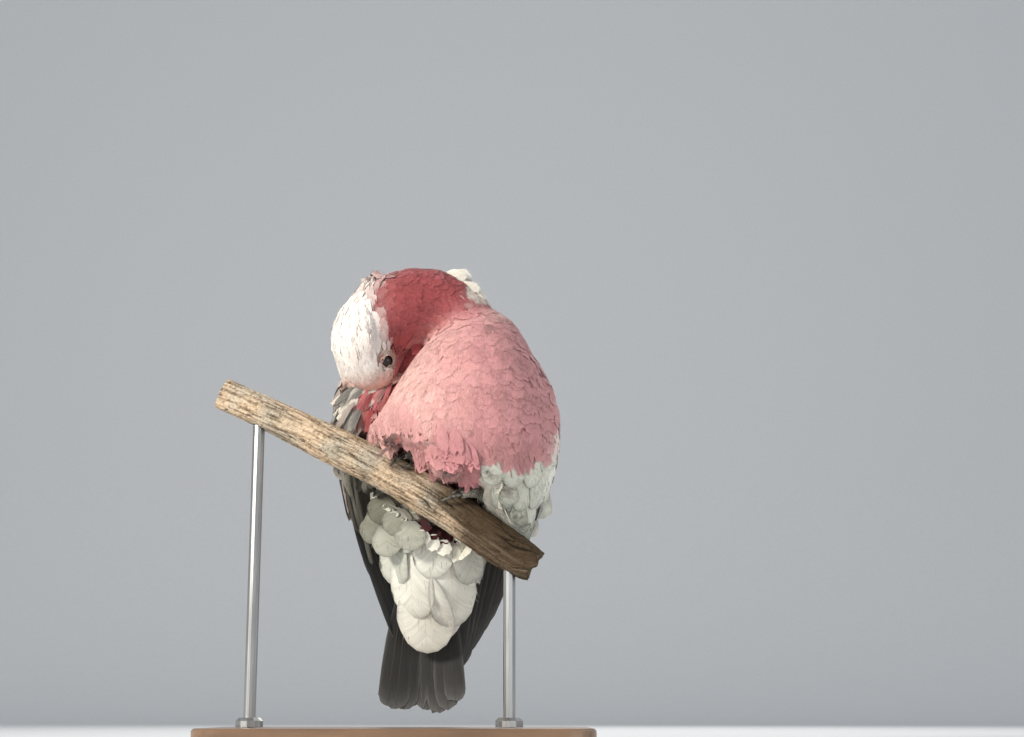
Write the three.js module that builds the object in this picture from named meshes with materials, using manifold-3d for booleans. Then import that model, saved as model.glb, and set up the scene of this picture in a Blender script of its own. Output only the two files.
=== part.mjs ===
// A galah (Eolophus roseicapilla) as a still, life-size display model: it stands on a cut length of dead
// branch and bends its neck round to preen under its right wing. Two rods and a flat base hold the branch.
// Millimetres, +Z up. The bird faces -Y, and its right side is towards -X.
// The origin is the middle of the base's underside.
import * as THREE from "three";
import { mergeVertices } from "three/addons/utils/BufferGeometryUtils.js";
import Module from "manifold-3d";

const wasm = await Module();
wasm.setup();

// ---------------------------------------------------------------- driving dimensions
const GAP = 0.3; // clearance between neighbouring solids

const BASE = { length: 250, depth: 150, height: 14, corner: 20, bevel: 1.5 };
const ROD = { radius: 4, sides: 12, sunk: 8, grip: 6 };
const COLLAR = { radius: 9, height: 6, chamfer: 2 };
const ROD_X = { left: -98, right: 71 };

// The branch's centre line falls from the sawn end at the left to the broken end at the right.
const BRANCH = {
  line: [
    [-124, 0, 235],
    [-84, 0, 217],
    [-44, 0, 197.5],
    [-6, 0, 178],
    [31, 0, 156.5],
    [62, 0, 134.5],
    [87, 0, 118],
  ],
  radius: [11, 11.8, 12.6, 13.2, 14, 14.5, 13.2],
  sides: 14,
  steps: 16,
};

// Each station of a body part: centre, half width across, and depth to the front and to the back.
const TRUNK = [
  { at: [20, 46, 112], wide: 12, front: 4, back: 6 },
  { at: [21, 44, 118], wide: 28, front: 9, back: 15 },
  { at: [22, 38, 140], wide: 39, front: 21, back: 24 },
  { at: [27, 26, 168], wide: 56, front: 38, back: 34 },
  { at: [42, 9, 203], wide: 64, front: 53, back: 48 },
  { at: [47, 5, 236], wide: 53, front: 51, back: 50 },
  { at: [50, 9, 266], wide: 37, front: 40, back: 42 },
  { at: [51, 13, 288], wide: 21, front: 23, back: 27 },
  { at: [51, 14, 294], wide: 9, front: 10, back: 11 },
];

const NECK = [
  { at: [47, 17, 264], wide: 31, front: 27, back: 26 },
  { at: [38, 16, 289], wide: 28, front: 23, back: 31 },
  { at: [17, 12, 301], wide: 27, front: 24, back: 33 },
  { at: [-9, 7, 297], wide: 27, front: 23, back: 34 },
  { at: [-24, 4, 280], wide: 24, front: 20, back: 30 },
];

// The head hangs from the neck with its bill down, its crown to the front and its left cheek to +X.
const HEAD = {
  centre: [-24, 6, 264],
  bill: [0.1, 0.36, -0.93],
  crown: [-0.57, -0.78, -0.26],
  // along the bill axis: distance from the centre, half width, height to the crown and to the chin
  stations: [
    [-36, 6, 5, 6],
    [-31, 14, 14, 13],
    [-20, 20.5, 21, 19],
    [-8, 23, 24.5, 22],
    [4, 24, 25.5, 23],
    [15, 21.5, 23, 22],
    [23, 16, 16.5, 18],
    [28, 7, 6.5, 9],
  ],
  sides: 16,
  steps: 11,
};
// The crest's middle line over crown and nape, forward and up from the head's centre, and its half widths.
const CREST = {
  line: [[10, 23.5], [-8, 26], [-20, 23], [-31, 15], [-41, 3], [-51, -12]],
  wide: [9, 18, 19, 15, 10, 4],
  thick: 2,
  curve: 26,
};
const EYE = { radius: 4.8, forward: 3.4, up: 8.2, out: 17.9 };
const BILL = {
  upper: { start: [20, -3], wide: 7, deep: 8.5, reach: 25, sweep: 105 },
  lower: { start: [15, -13], wide: 5.8, deep: 5, reach: 12, sweep: 50 },
  sides: 8,
  steps: 7,
};

// Leading and trailing edges of the folded wings, shoulder to tip, with the shell's thickness.
const WING_LEFT = {
  lead: [
    [76, 10, 272], [94, -5, 244], [101, -8, 212], [97, 1, 178],
    [85, 16, 146], [72, 38, 113], [56, 61, 80], [40, 78, 52],
  ],
  trail: [
    [64, 34, 278], [54, 55, 246], [47, 62, 212], [42, 68, 178],
    [38, 73, 146], [34, 78, 113], [31, 83, 80], [31, 84, 50],
  ],
  bulge: [4, 14, 20, 19, 16, 11, 6, 2],
  thick: [7, 10, 10, 8, 6, 4, 2.6, 1.6],
};
const WING_RIGHT = {
  lead: [
    [-6, 24, 282], [-38, 7, 256], [-47, 4, 225], [-45, 17, 190],
    [-39, 24, 155], [-28, 38, 119], [-14, 57, 84], [2, 76, 55],
  ],
  trail: [
    [22, 42, 285], [28, 56, 254], [24, 62, 220], [21, 68, 185],
    [18, 73, 150], [14, 78, 116], [10, 83, 83], [10, 84, 53],
  ],
  bulge: [5, 17, 24, 22, 18, 12, 6, 2],
  thick: [7, 10, 10, 8, 6, 4, 2.6, 1.6],
};

const UNDERTAIL = [
  { at: [18, 34, 154], wide: 36, front: 14, back: 14 },
  { at: [19, 38, 142], wide: 38, front: 24, back: 16 },
  { at: [20, 46, 118], wide: 33, front: 23, back: 13 },
  { at: [19, 54, 92], wide: 26, front: 14, back: 8 },
  { at: [15, 59, 74], wide: 16, front: 8, back: 5 },
  { at: [13, 61, 66], wide: 8, front: 2.5, back: 2 },
];

const TAIL = {
  feathers: 12,
  root: [24, 60, 124],
  tip: [8, 70, 26],
  rootWide: 44,
  tipWide: 61,
  thick: 2.6,
};

const THIGHS = {
  left: { at: [70, 14, 164], radii: [20, 22, 30] },
  right: { at: [3, 24, 186], radii: [19, 20, 26] },
};

// Two toes go forward over the branch and two go back, as in all parrots. `to` and `tip` are the angles
// round the branch, from its top, where the toe and then its claw end; `offset` runs along the branch.
const TOE = { radius: 3.4, tip: 2.5, claw: 1.8, sides: 6, clear: 0.8, arch: 1.9 };
const CLAW = { start: 1.2, arch: 1.3, end: 0.35 };
const FEET = {
  left: {
    x: 39.5,
    toes: [
      { name: "inner_front", to: 24, tip: 62, offset: [0, -8, -14] },
      { name: "outer_front", to: 52, tip: 100, offset: [5, -8, -18] },
      { name: "inner_back", to: -84, tip: -122, offset: [2, 6, 8] },
      { name: "outer_back", to: -124, tip: -166, offset: [-3, -14, -17] },
    ],
  },
  right: {
    x: 1.5,
    toes: [
      { name: "inner_front", to: 26, tip: 64, offset: [4, 0, -4] },
      { name: "outer_front", to: 32, tip: 76, offset: [-4, -9, -13] },
      { name: "inner_back", to: -84, tip: -122, offset: [2, 7, 9] },
      { name: "outer_back", to: -134, tip: -176, offset: [-4, -18, -22] },
    ],
  },
};

// ---------------------------------------------------------------- geometry helpers
const vec = (p) => (Array.isArray(p) ? new THREE.Vector3(...p) : p.clone());
const lerp = THREE.MathUtils.lerp;
const rad = THREE.MathUtils.degToRad;

// A closed surface through rings with equal numbers of points, with a fan over each end.
function surfaceThrough(rings) {
  const sides = rings[0].length;
  const position = rings.flat().flatMap((p) => [p.x, p.y, p.z]);
  const index = [];
  for (let r = 0; r + 1 < rings.length; r++)
    for (let i = 0; i < sides; i++) {
      const j = (i + 1) % sides;
      const [a, b] = [r * sides + i, r * sides + j];
      index.push(a, b, b + sides, a, b + sides, a + sides);
    }
  for (const [ring, first, turn] of [
    [rings[0], 0, 1],
    [rings.at(-1), (rings.length - 1) * sides, 0],
  ]) {
    const hub = ring.reduce((sum, p) => sum.add(p), new THREE.Vector3()).divideScalar(sides);
    const at = position.length / 3;
    position.push(hub.x, hub.y, hub.z);
    for (let i = 0; i < sides; i++) {
      const [a, b] = [first + i, first + ((i + 1) % sides)];
      index.push(at, ...(turn ? [b, a] : [a, b]));
    }
  }
  const made = new THREE.BufferGeometry();
  made.setAttribute("position", new THREE.Float32BufferAttribute(position, 3));
  made.setIndex(index);
  return made;
}

// A three.js geometry as a manifold solid, turned to face outwards.
function solid(geometry) {
  const bare = new THREE.BufferGeometry();
  const source = geometry.index ? geometry.toNonIndexed() : geometry;
  bare.setAttribute("position", source.getAttribute("position"));
  const merged = mergeVertices(bare, 1e-4);
  const triVerts = new Uint32Array(merged.index.array);
  const build = () =>
    new wasm.Manifold(
      new wasm.Mesh({ numProp: 3, vertProperties: merged.attributes.position.array, triVerts }),
    );
  const made = build();
  if (made.volume() >= 0) return made;
  for (let i = 0; i < triVerts.length; i += 3)
    [triVerts[i + 1], triVerts[i + 2]] = [triVerts[i + 2], triVerts[i + 1]];
  return build();
}

function geometryOf(manifold) {
  const mesh = manifold.getMesh();
  const made = new THREE.BufferGeometry();
  const position = new Float32Array(mesh.numVert * 3);
  for (let i = 0; i < mesh.numVert; i++)
    position.set(mesh.vertProperties.subarray(i * mesh.numProp, i * mesh.numProp + 3), i * 3);
  made.setAttribute("position", new THREE.BufferAttribute(position, 3));
  made.setIndex(new THREE.BufferAttribute(mesh.triVerts, 1));
  made.computeVertexNormals();
  return made;
}

// What is left of a solid after cuts, without any crumbs.
function carve(body, ...cutters) {
  const left = cutters.reduce((rest, cutter) => rest.subtract(cutter), body);
  return left.decompose().reduce((a, b) => (b.volume() > a.volume() ? b : a));
}

// A round or oval body through stations, widest along `across`, its back towards `behind`.
function bodyThrough(stations, { across, behind = [0, 1, 0], sides, steps, grow = 0 }) {
  const line = new THREE.CatmullRomCurve3(stations.map((s) => vec(s.at)));
  const sizes = new THREE.CatmullRomCurve3(
    stations.map((s) => new THREE.Vector3(s.wide, s.front, s.back)),
  );
  const rings = [];
  for (let k = 0; k <= steps; k++) {
    const t = k / steps;
    const along = line.getTangent(t);
    const side = vec(across).addScaledVector(along, -vec(across).dot(along)).normalize();
    const back = new THREE.Vector3().crossVectors(along, side).normalize();
    if (back.dot(vec(behind)) < 0) back.negate();
    const centre = line.getPoint(t);
    if (k === 0) centre.addScaledVector(along, -grow);
    if (k === steps) centre.addScaledVector(along, grow);
    const size = sizes.getPoint(t);
    rings.push(
      Array.from({ length: sides }, (_, i) => {
        const a = (2 * Math.PI * i) / sides;
        const depth = (Math.sin(a) > 0 ? size.z : size.y) + grow;
        return centre
          .clone()
          .addScaledVector(side, Math.cos(a) * (size.x + grow))
          .addScaledVector(back, Math.sin(a) * depth);
      }),
    );
  }
  return solid(surfaceThrough(rings));
}

// A tube along points, its radius run through the given values.
function tube(points, radii, { sides, steps, grow = 0 }) {
  const line = new THREE.CatmullRomCurve3(points.map(vec));
  const size = new THREE.CatmullRomCurve3(radii.map((r) => new THREE.Vector3(r, 0, 0)));
  const frames = line.computeFrenetFrames(steps);
  const rings = [];
  for (let k = 0; k <= steps; k++) {
    const centre = line.getPointAt(k / steps);
    const r = size.getPoint(k / steps).x + grow;
    rings.push(
      Array.from({ length: sides }, (_, i) => {
        const a = (2 * Math.PI * i) / sides;
        return centre
          .clone()
          .addScaledVector(frames.normals[k], Math.cos(a) * r)
          .addScaledVector(frames.binormals[k], Math.sin(a) * r);
      }),
    );
  }
  return solid(surfaceThrough(rings));
}

// ---------------------------------------------------------------- stand and perch
const branchLine = new THREE.CatmullRomCurve3(BRANCH.line.map(vec));
const branchSize = new THREE.CatmullRomCurve3(
  BRANCH.radius.map((r) => new THREE.Vector3(r, 0, 0)),
);

// The branch at a given x: its centre, radius, direction, and the square directions up and forward.
function branchAt(x) {
  let [low, high] = [0, 1];
  for (let i = 0; i < 40; i++) {
    const mid = (low + high) / 2;
    if (branchLine.getPoint(mid).x < x) low = mid;
    else high = mid;
  }
  const along = branchLine.getTangent(low);
  const front = new THREE.Vector3(0, -1, 0);
  const up = new THREE.Vector3().crossVectors(front, along).normalize();
  if (up.z < 0) up.negate();
  return { centre: branchLine.getPoint(low), radius: branchSize.getPoint(low).x, along, front, up };
}

// The room that the belly leaves round the branch: the branch itself and all that lies in front of it.
function branchClearance() {
  const [sides, steps, reach] = [12, 8, 60];
  const rings = [];
  for (let k = 0; k <= steps; k++) {
    const { centre, radius, up, front } = branchAt(lerp(-60, 86, k / steps));
    rings.push(
      Array.from({ length: sides }, (_, i) => {
        const a = (2 * Math.PI * i) / sides;
        const room = radius + 1.4 + 6 * Math.max(0, -Math.sin(a + Math.PI / 3));
        const forward = Math.sin(a) * room;
        return centre
          .clone()
          .addScaledVector(up, Math.cos(a) * room + Math.max(0, Math.sin(a)) * 2)
          .addScaledVector(front, forward > 0.1 ? forward + reach : forward);
      }),
    );
  }
  return solid(surfaceThrough(rings));
}

// Weathered wood: shallow flutes along the branch, and a ragged end where it broke.
function branch(grow = 0) {
  const { sides, steps } = BRANCH;
  const rings = [];
  for (let k = 0; k <= steps; k++) {
    const t = k / steps;
    const centre = branchLine.getPoint(t);
    const along = branchLine.getTangent(t);
    const front = new THREE.Vector3(0, -1, 0);
    const up = new THREE.Vector3().crossVectors(front, along).normalize();
    const radius = branchSize.getPoint(t).x + grow;
    const fray = k === steps ? 1 : 0;
    rings.push(
      Array.from({ length: sides }, (_, i) => {
        const a = (2 * Math.PI * i) / sides;
        const flute = 0.3 * Math.sin(3 * a + 2 * t) + 0.2 * Math.sin(5 * a - 3 * t);
        return centre
          .clone()
          .addScaledVector(up, Math.cos(a) * (radius + flute) * (1 - 0.12 * fray))
          .addScaledVector(front, Math.sin(a) * (radius + flute) * (1 - 0.12 * fray))
          .addScaledVector(along, fray * 2.5 * Math.sin(5 * a + 1));
      }),
    );
  }
  return solid(surfaceThrough(rings));
}

function baseSolid() {
  const { length, depth, height, corner, bevel } = BASE;
  const [w, d] = [length / 2 - bevel, depth / 2 - bevel];
  const outline = new THREE.Shape();
  for (const [i, [x, y]] of [[w, d], [-w, d], [-w, -d], [w, -d]].entries())
    outline.absarc(
      x - Math.sign(x) * corner, y - Math.sign(y) * corner, corner,
      (i * Math.PI) / 2, ((i + 1) * Math.PI) / 2,
    );
  const slab = new THREE.ExtrudeGeometry(outline, {
    depth: height - 2 * bevel, bevelThickness: bevel, bevelSize: bevel, bevelSegments: 1, curveSegments: 4,
  });
  return solid(slab.translate(0, 0, bevel));
}

function rod(x, grow = 0) {
  const foot = BASE.height - ROD.sunk;
  const { centre, radius, along } = branchAt(x);
  const head = centre.z - radius / Math.abs(along.x) + ROD.grip;
  const length = head - foot + 2 * grow;
  const shaft = new THREE.CylinderGeometry(ROD.radius + grow, ROD.radius + grow, length, ROD.sides);
  return solid(shaft.rotateX(Math.PI / 2).translate(x, 0, (head + foot) / 2));
}

function collar(x) {
  const bore = ROD.radius + GAP;
  const [low, high] = [BASE.height + GAP, BASE.height + GAP + COLLAR.height];
  const { radius, chamfer } = COLLAR;
  const profile = [
    [bore, low],
    [radius, low],
    [radius, high - chamfer],
    [radius - chamfer, high],
    [bore, high],
    [bore, low],
  ].map(([r, z]) => new THREE.Vector2(r, z));
  return solid(new THREE.LatheGeometry(profile, ROD.sides).rotateX(Math.PI / 2).translate(x, 0, 0));
}

// ---------------------------------------------------------------- head
const headAxes = (() => {
  const bill = vec(HEAD.bill).normalize();
  const crown = vec(HEAD.crown).addScaledVector(bill, -vec(HEAD.crown).dot(bill)).normalize();
  const left = new THREE.Vector3().crossVectors(crown, bill);
  return { bill, crown, left, centre: vec(HEAD.centre) };
})();

// A point in the head's own directions: forward to the bill, up to the crown, out to the bird's left.
const onHead = (forward, up, out) =>
  headAxes.centre
    .clone()
    .addScaledVector(headAxes.bill, forward)
    .addScaledVector(headAxes.crown, up)
    .addScaledVector(headAxes.left, out);

function head(grow = 0) {
  const { stations, sides, steps } = HEAD;
  const size = new THREE.CatmullRomCurve3(
    stations.map(([, wide, top]) => new THREE.Vector3(wide, top, 0)),
  );
  const place = new THREE.CatmullRomCurve3(
    stations.map(([forward, , , chin]) => new THREE.Vector3(forward, chin, 0)),
  );
  const rings = [];
  for (let k = 0; k <= steps; k++) {
    const { x: wide, y: top } = size.getPoint(k / steps);
    const { x: forward, y: chin } = place.getPoint(k / steps);
    const end = k === 0 ? -grow : k === steps ? grow : 0;
    rings.push(
      Array.from({ length: sides }, (_, i) => {
        const a = (2 * Math.PI * i) / sides;
        const height = (Math.sin(a) > 0 ? top : chin) + grow;
        return onHead(forward + end, Math.sin(a) * height, Math.cos(a) * (wide + grow));
      }),
    );
  }
  return solid(surfaceThrough(rings));
}

// The feathers of the short crest, lying back over the crown and lifting a little at the nape.
function crest(grow = 0) {
  const middle = new THREE.CatmullRomCurve3(CREST.line.map(([f, u]) => new THREE.Vector3(f, u, 0)));
  const width = new THREE.CatmullRomCurve3(CREST.wide.map((w) => new THREE.Vector3(w, 0, 0)));
  const [steps, sides] = [8, 12];
  const rings = [];
  for (let k = 0; k <= steps; k++) {
    const t = k / steps;
    const { x: forward, y: up } = middle.getPoint(t);
    const along = middle.getTangent(t);
    const wide = width.getPoint(t).x + grow;
    rings.push(
      Array.from({ length: sides }, (_, i) => {
        const b = (2 * Math.PI * i) / sides;
        const across = Math.cos(b) * wide;
        const rise = Math.sin(b) * (CREST.thick + grow) - (across * across) / (2 * CREST.curve);
        return onHead(forward + along.y * rise, up - along.x * rise, across);
      }),
    );
  }
  return solid(surfaceThrough(rings));
}

function eye(side, grow = 0) {
  const ball = new THREE.SphereGeometry(EYE.radius + grow, 10, 6);
  const at = onHead(EYE.forward, EYE.up, side * EYE.out);
  return solid(ball.translate(at.x, at.y, at.z));
}

// A horn curving from the face towards the chin in the head's middle plane.
function horn({ start, wide, deep, reach, sweep }, grow = 0) {
  const bend = reach / rad(sweep);
  const rings = [];
  for (let k = 0; k <= BILL.steps; k++) {
    const t = k / BILL.steps;
    const a = rad(sweep * t);
    const forward = start[0] + bend * Math.sin(a);
    const up = start[1] - bend * (1 - Math.cos(a));
    const taper = 0.75 * Math.sqrt(1 - t) + 0.25 * (1 - t) + 0.05;
    rings.push(
      Array.from({ length: BILL.sides }, (_, i) => {
        const b = (2 * Math.PI * i) / BILL.sides;
        const rise = Math.sin(b) * (deep * taper + grow);
        return onHead(
          forward + Math.sin(a) * rise,
          up + Math.cos(a) * rise,
          Math.cos(b) * (wide * taper + grow),
        );
      }),
    );
  }
  return solid(surfaceThrough(rings));
}

// ---------------------------------------------------------------- wings, tail, legs
function wing({ lead, trail, bulge, thick }, outward, grow = 0) {
  const edges = [lead, trail].map((line) => new THREE.CatmullRomCurve3(line.map(vec)));
  const sizes = new THREE.CatmullRomCurve3(
    bulge.map((b, i) => new THREE.Vector3(b, thick[i], 0)),
  );
  const [steps, across] = [12, 7];
  const rings = [];
  for (let k = 0; k <= steps; k++) {
    const t = k / steps;
    const [front, rear] = edges.map((edge) => edge.getPoint(t));
    const { x: rise, y: depth } = sizes.getPoint(t);
    const chord = rear.clone().sub(front);
    const along = edges[0].getTangent(t).add(edges[1].getTangent(t)).normalize();
    const out = new THREE.Vector3().crossVectors(chord, along).normalize();
    if (out.dot(vec(outward)) < 0) out.negate();
    const end = k === 0 ? -grow : k === steps ? grow : 0;
    const skins = [1, -1].map((face) =>
      Array.from({ length: across + 1 }, (_, i) => {
        const s = i / across;
        const arch = Math.sin(Math.PI * Math.pow(s, 0.8));
        const slope = new THREE.Vector3()
          .copy(chord)
          .addScaledVector(out, rise * Math.PI * Math.cos(Math.PI * s))
          .normalize();
        const normal = new THREE.Vector3().crossVectors(slope, along).normalize();
        if (normal.dot(out) < 0) normal.negate();
        const full = 0.35 + 0.65 * Math.sin(Math.PI * lerp(0.12, 0.95, s));
        const half = depth * lerp(0.45, 0.2, s) * full + 0.3;
        return front
          .clone()
          .addScaledVector(chord, s)
          .addScaledVector(out, rise * arch)
          .addScaledVector(normal, face * (half + grow))
          .addScaledVector(along, end)
          .addScaledVector(slope, i === 0 ? -grow : i === across ? grow : 0);
      }),
    );
    rings.push([...skins[0], ...skins[1].reverse()]);
  }
  return solid(surfaceThrough(rings));
}

// The fan of tail feathers: a thin sheet with one rounded tip for each feather.
function tail(grow = 0) {
  const { feathers, root, tip, rootWide, tipWide, thick } = TAIL;
  const along = vec(tip).sub(vec(root));
  const across = new THREE.Vector3(1, 0, along.x / -along.z).normalize();
  const out = new THREE.Vector3().crossVectors(along, across).normalize();
  const columns = feathers * 2;
  const at = (s, t, face) => {
    const bow = 1 - Math.pow(2 * s - 1, 2);
    const wide = lerp(rootWide, tipWide, Math.pow(t, 0.8)) + 2 * grow;
    const round = Math.abs(Math.sin(Math.PI * s * feathers));
    const reach = t * (0.94 + 0.03 * bow + 0.03 * round);
    return vec(root)
      .addScaledVector(along, reach)
      .addScaledVector(across, (s - 0.5) * wide)
      .addScaledVector(out, face * (thick / 2 + grow) - 5 * bow * (1 - 0.5 * t));
  };
  const rings = [];
  for (let k = 0; k <= columns; k++) {
    const s = k / columns;
    const rows = [0, 0.5, 1];
    rings.push([...rows.map((t) => at(s, t, 1)), ...rows.toReversed().map((t) => at(s, t, -1))]);
  }
  return solid(surfaceThrough(rings));
}

function thigh({ at, radii }, grow = 0) {
  const ball = new THREE.SphereGeometry(1, 12, 8);
  return solid(
    ball.scale(radii[0] + grow, radii[1] + grow, radii[2] + grow).translate(...at),
  );
}

// A path round the branch: angles in degrees from its top, forward positive, and offsets along it.
function roundBranch(place, [from, to], offset, [low, high], arch = 0, steps = 4) {
  return Array.from({ length: steps + 1 }, (_, i) => {
    const t = i / steps;
    const a = rad(lerp(from, to, t));
    const reach = place.radius + lerp(low, high, t) + arch * Math.sin(Math.PI * t);
    return place.centre
      .clone()
      .addScaledVector(place.along, lerp(offset[0], offset[1], t))
      .addScaledVector(place.up, Math.cos(a) * reach)
      .addScaledVector(place.front, Math.sin(a) * reach);
  });
}

// The shank rises from the middle of the grip into the belly.
function shank(place, grow = 0, sides = TOE.sides) {
  const ankle = place.centre.clone().addScaledVector(place.up, place.radius + TOE.radius + 1.5);
  const rise = vec([0, 10, 24]);
  return tube([ankle, ankle.clone().add(rise)], [4.4, 4], { steps: 1, sides, grow });
}

function foot({ x, toes }, grow = 0) {
  const place = branchAt(x);
  const root = TOE.radius * 1.15;
  return toes
    .map(({ to, offset }) =>
      tube(
        roundBranch(place, [0, to], offset, [root + TOE.clear, TOE.tip + TOE.clear], TOE.arch),
        [root, TOE.radius, TOE.radius * 0.95, TOE.tip],
        { steps: Math.ceil(Math.abs(to) / 24) + 2, sides: TOE.sides, grow },
      ),
    )
    .reduce((a, b) => a.add(b), shank(place, grow));
}

function claw({ x }, { to, tip, offset }) {
  const start = TOE.tip + TOE.clear;
  const turn = Math.sign(to) * 2;
  const heights = [start + CLAW.start, TOE.clear - 0.1];
  const path = roundBranch(branchAt(x), [to + turn, tip], offset.slice(1), heights, CLAW.arch);
  return tube(path, [TOE.claw, TOE.claw * 0.85, TOE.claw * 0.6, CLAW.end], { steps: 3, sides: 6 });
}

// The room that the belly leaves for a foot: a cuff over the branch, open to the front, and the shank.
function footRoom({ x }) {
  const place = branchAt(x);
  const cuff = { left: -25, right: 12, depth: 11.2, steps: 7 };
  const notch = { width: 26, reach: 60, shift: -3 };
  const rings = Array.from({ length: cuff.steps + 1 }, (_, k) => {
    const a = rad(lerp(-138, 68, k / cuff.steps));
    const out = place.up.clone().multiplyScalar(Math.cos(a)).addScaledVector(place.front, Math.sin(a));
    const corners = [[cuff.left, 0], [cuff.right, 0], [cuff.right, cuff.depth], [cuff.left, cuff.depth]];
    return corners.map(([across, rise]) =>
      place.centre
        .clone()
        .addScaledVector(place.along, across)
        .addScaledVector(out, place.radius + rise),
    );
  });
  const middle = place.centre
    .clone()
    .addScaledVector(place.up, place.radius + cuff.depth / 2)
    .addScaledVector(place.along, notch.shift);
  const opening = new THREE.BoxGeometry(notch.width, notch.reach, cuff.depth)
    .rotateY(Math.atan2(-place.along.z, place.along.x))
    .translate(middle.x, -notch.reach / 2, middle.z);
  return solid(surfaceThrough(rings)).add(shank(place, 1)).add(solid(opening));
}

// ---------------------------------------------------------------- assembly
const galah = new THREE.Group();
const finish = (color, roughness = 0.8, metalness = 0) =>
  new THREE.MeshStandardMaterial({ color, roughness, metalness });
const MATERIALS = {
  pink: finish(0xd07a84),
  white: finish(0xe9d9d4),
  pale: finish(0xd3d2cd),
  grey: finish(0xa9abac),
  dark: finish(0x4c4b4a),
  horn: finish(0xcfc9bd, 0.45),
  skin: finish(0x57524f, 0.7),
  claw: finish(0x4a4644, 0.4),
  eye: finish(0x120a08, 0.08),
  wood: finish(0x9d8a6a, 0.9),
  base: finish(0x3a2a20, 0.45),
  steel: finish(0xa8a8a6, 0.3, 1),
};

function place(name, manifold, material) {
  const mesh = new THREE.Mesh(geometryOf(manifold), MATERIALS[material]);
  mesh.name = name;
  galah.add(mesh);
}

const ACROSS = [1, 0, 0];
const trunkWith = (grow) => bodyThrough(TRUNK, { across: ACROSS, sides: 20, steps: 13, grow });
const neckWith = (grow) =>
  bodyThrough(NECK, { across: [0, 1, 0], behind: [0.1, 0, -1], sides: 16, steps: 8, grow });
const undertailWith = (grow) => bodyThrough(UNDERTAIL, { across: ACROSS, sides: 14, steps: 7, grow });

const rods = { left: rod(ROD_X.left), right: rod(ROD_X.right) };
const rodHoles = [rod(ROD_X.left, GAP), rod(ROD_X.right, GAP)];
place("stand_base", carve(baseSolid(), ...rodHoles), "base");
for (const side of ["left", "right"]) {
  place(`stand_rod_${side}`, rods[side], "steel");
  place(`stand_collar_${side}`, collar(ROD_X[side]), "steel");
}
place("perch_branch", carve(branch(), ...rodHoles), "wood");

const branchRoom = branchClearance();
const headRoom = head(GAP);
const feetRoom = [footRoom(FEET.left), footRoom(FEET.right)];
const eyeRoom = [eye(1, GAP), eye(-1, GAP)];
const thighRoom = [thigh(THIGHS.left, GAP), thigh(THIGHS.right, GAP)];

const billRoom = [horn(BILL.upper, GAP), horn(BILL.lower, GAP)];
place("bill_upper", horn(BILL.upper), "horn");
place("bill_lower", carve(horn(BILL.lower), billRoom[0]), "horn");
place("head", carve(head(), ...eyeRoom, ...billRoom), "white");
place("eye_left", eye(1), "eye");
place("eye_right", eye(-1), "eye");
place("crest", carve(crest(), headRoom), "white");
place("neck", carve(neckWith(0), headRoom, crest(GAP)), "pink");

const trunk = carve(
  trunkWith(0), headRoom, neckWith(GAP), branchRoom, ...feetRoom, ...thighRoom, ...billRoom, crest(GAP),
);
place("trunk", trunk, "pink");
const trunkRoom = trunkWith(GAP);

for (const [side, shape] of Object.entries(FEET)) {
  place(`foot_${side}`, foot(shape), "skin");
  const footSkin = foot(shape, GAP);
  for (const toe of shape.toes)
    place(`claw_${side}_${toe.name}`, carve(claw(shape, toe), footSkin), "claw");
}
const wings = [[WING_LEFT, [1, 1, 0]], [WING_RIGHT, [-1, 1, 0]]];
const wingRoom = wings.map(([shape, out]) => wing(shape, out, GAP));
place("thigh_left", carve(thigh(THIGHS.left), branchRoom, ...feetRoom, ...wingRoom), "pale");
place("thigh_right", carve(thigh(THIGHS.right), branchRoom, ...feetRoom, ...wingRoom), "pale");

const tailRoom = tail(GAP);
const undertail = carve(undertailWith(0), trunkRoom, branchRoom, ...thighRoom, tailRoom, ...wingRoom);
place("undertail_coverts", undertail, "pale");
place("tail", carve(tail(), trunkRoom), "dark");

// Each wing is parted into the feathered arm and the flight feathers below it.
for (const [i, side] of ["left", "right"].entries()) {
  const inward = [trunkRoom, tailRoom, neckWith(GAP), headRoom, ...billRoom, branchRoom];
  const whole = carve(wing(...wings[i]), ...inward);
  const cut = new THREE.Vector3(0, -0.35, -1).normalize();
  const level = vec([0, 40, 150]).dot(cut);
  const normal = cut.toArray();
  const flight = whole.trimByPlane(normal, level + GAP / 2);
  const arm = whole.trimByPlane(normal.map((n) => -n), -level + GAP / 2);
  place(`wing_${side}_arm`, carve(arm), "grey");
  place(`wing_${side}_flight`, carve(flight), "dark");
}

export default galah;
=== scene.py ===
import math

import bmesh
import bpy
import numpy as np
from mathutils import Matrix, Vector, noise
from mathutils.bvhtree import BVHTree
from mathutils.kdtree import KDTree


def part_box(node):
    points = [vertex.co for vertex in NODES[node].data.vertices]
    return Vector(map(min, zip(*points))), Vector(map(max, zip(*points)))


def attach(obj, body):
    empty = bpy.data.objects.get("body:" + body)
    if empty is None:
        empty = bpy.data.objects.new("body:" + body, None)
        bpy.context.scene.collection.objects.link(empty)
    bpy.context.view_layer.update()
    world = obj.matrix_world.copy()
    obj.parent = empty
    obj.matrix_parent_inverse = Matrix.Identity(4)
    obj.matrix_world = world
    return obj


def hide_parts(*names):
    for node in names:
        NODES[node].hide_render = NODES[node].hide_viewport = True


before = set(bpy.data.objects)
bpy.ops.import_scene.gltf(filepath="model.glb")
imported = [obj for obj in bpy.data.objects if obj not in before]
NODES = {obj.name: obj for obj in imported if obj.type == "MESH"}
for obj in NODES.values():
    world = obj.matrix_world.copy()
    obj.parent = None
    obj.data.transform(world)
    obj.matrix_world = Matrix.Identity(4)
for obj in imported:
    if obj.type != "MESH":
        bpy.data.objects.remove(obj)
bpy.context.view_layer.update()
RNG = np.random.default_rng(19)
MM = 0.001


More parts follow.
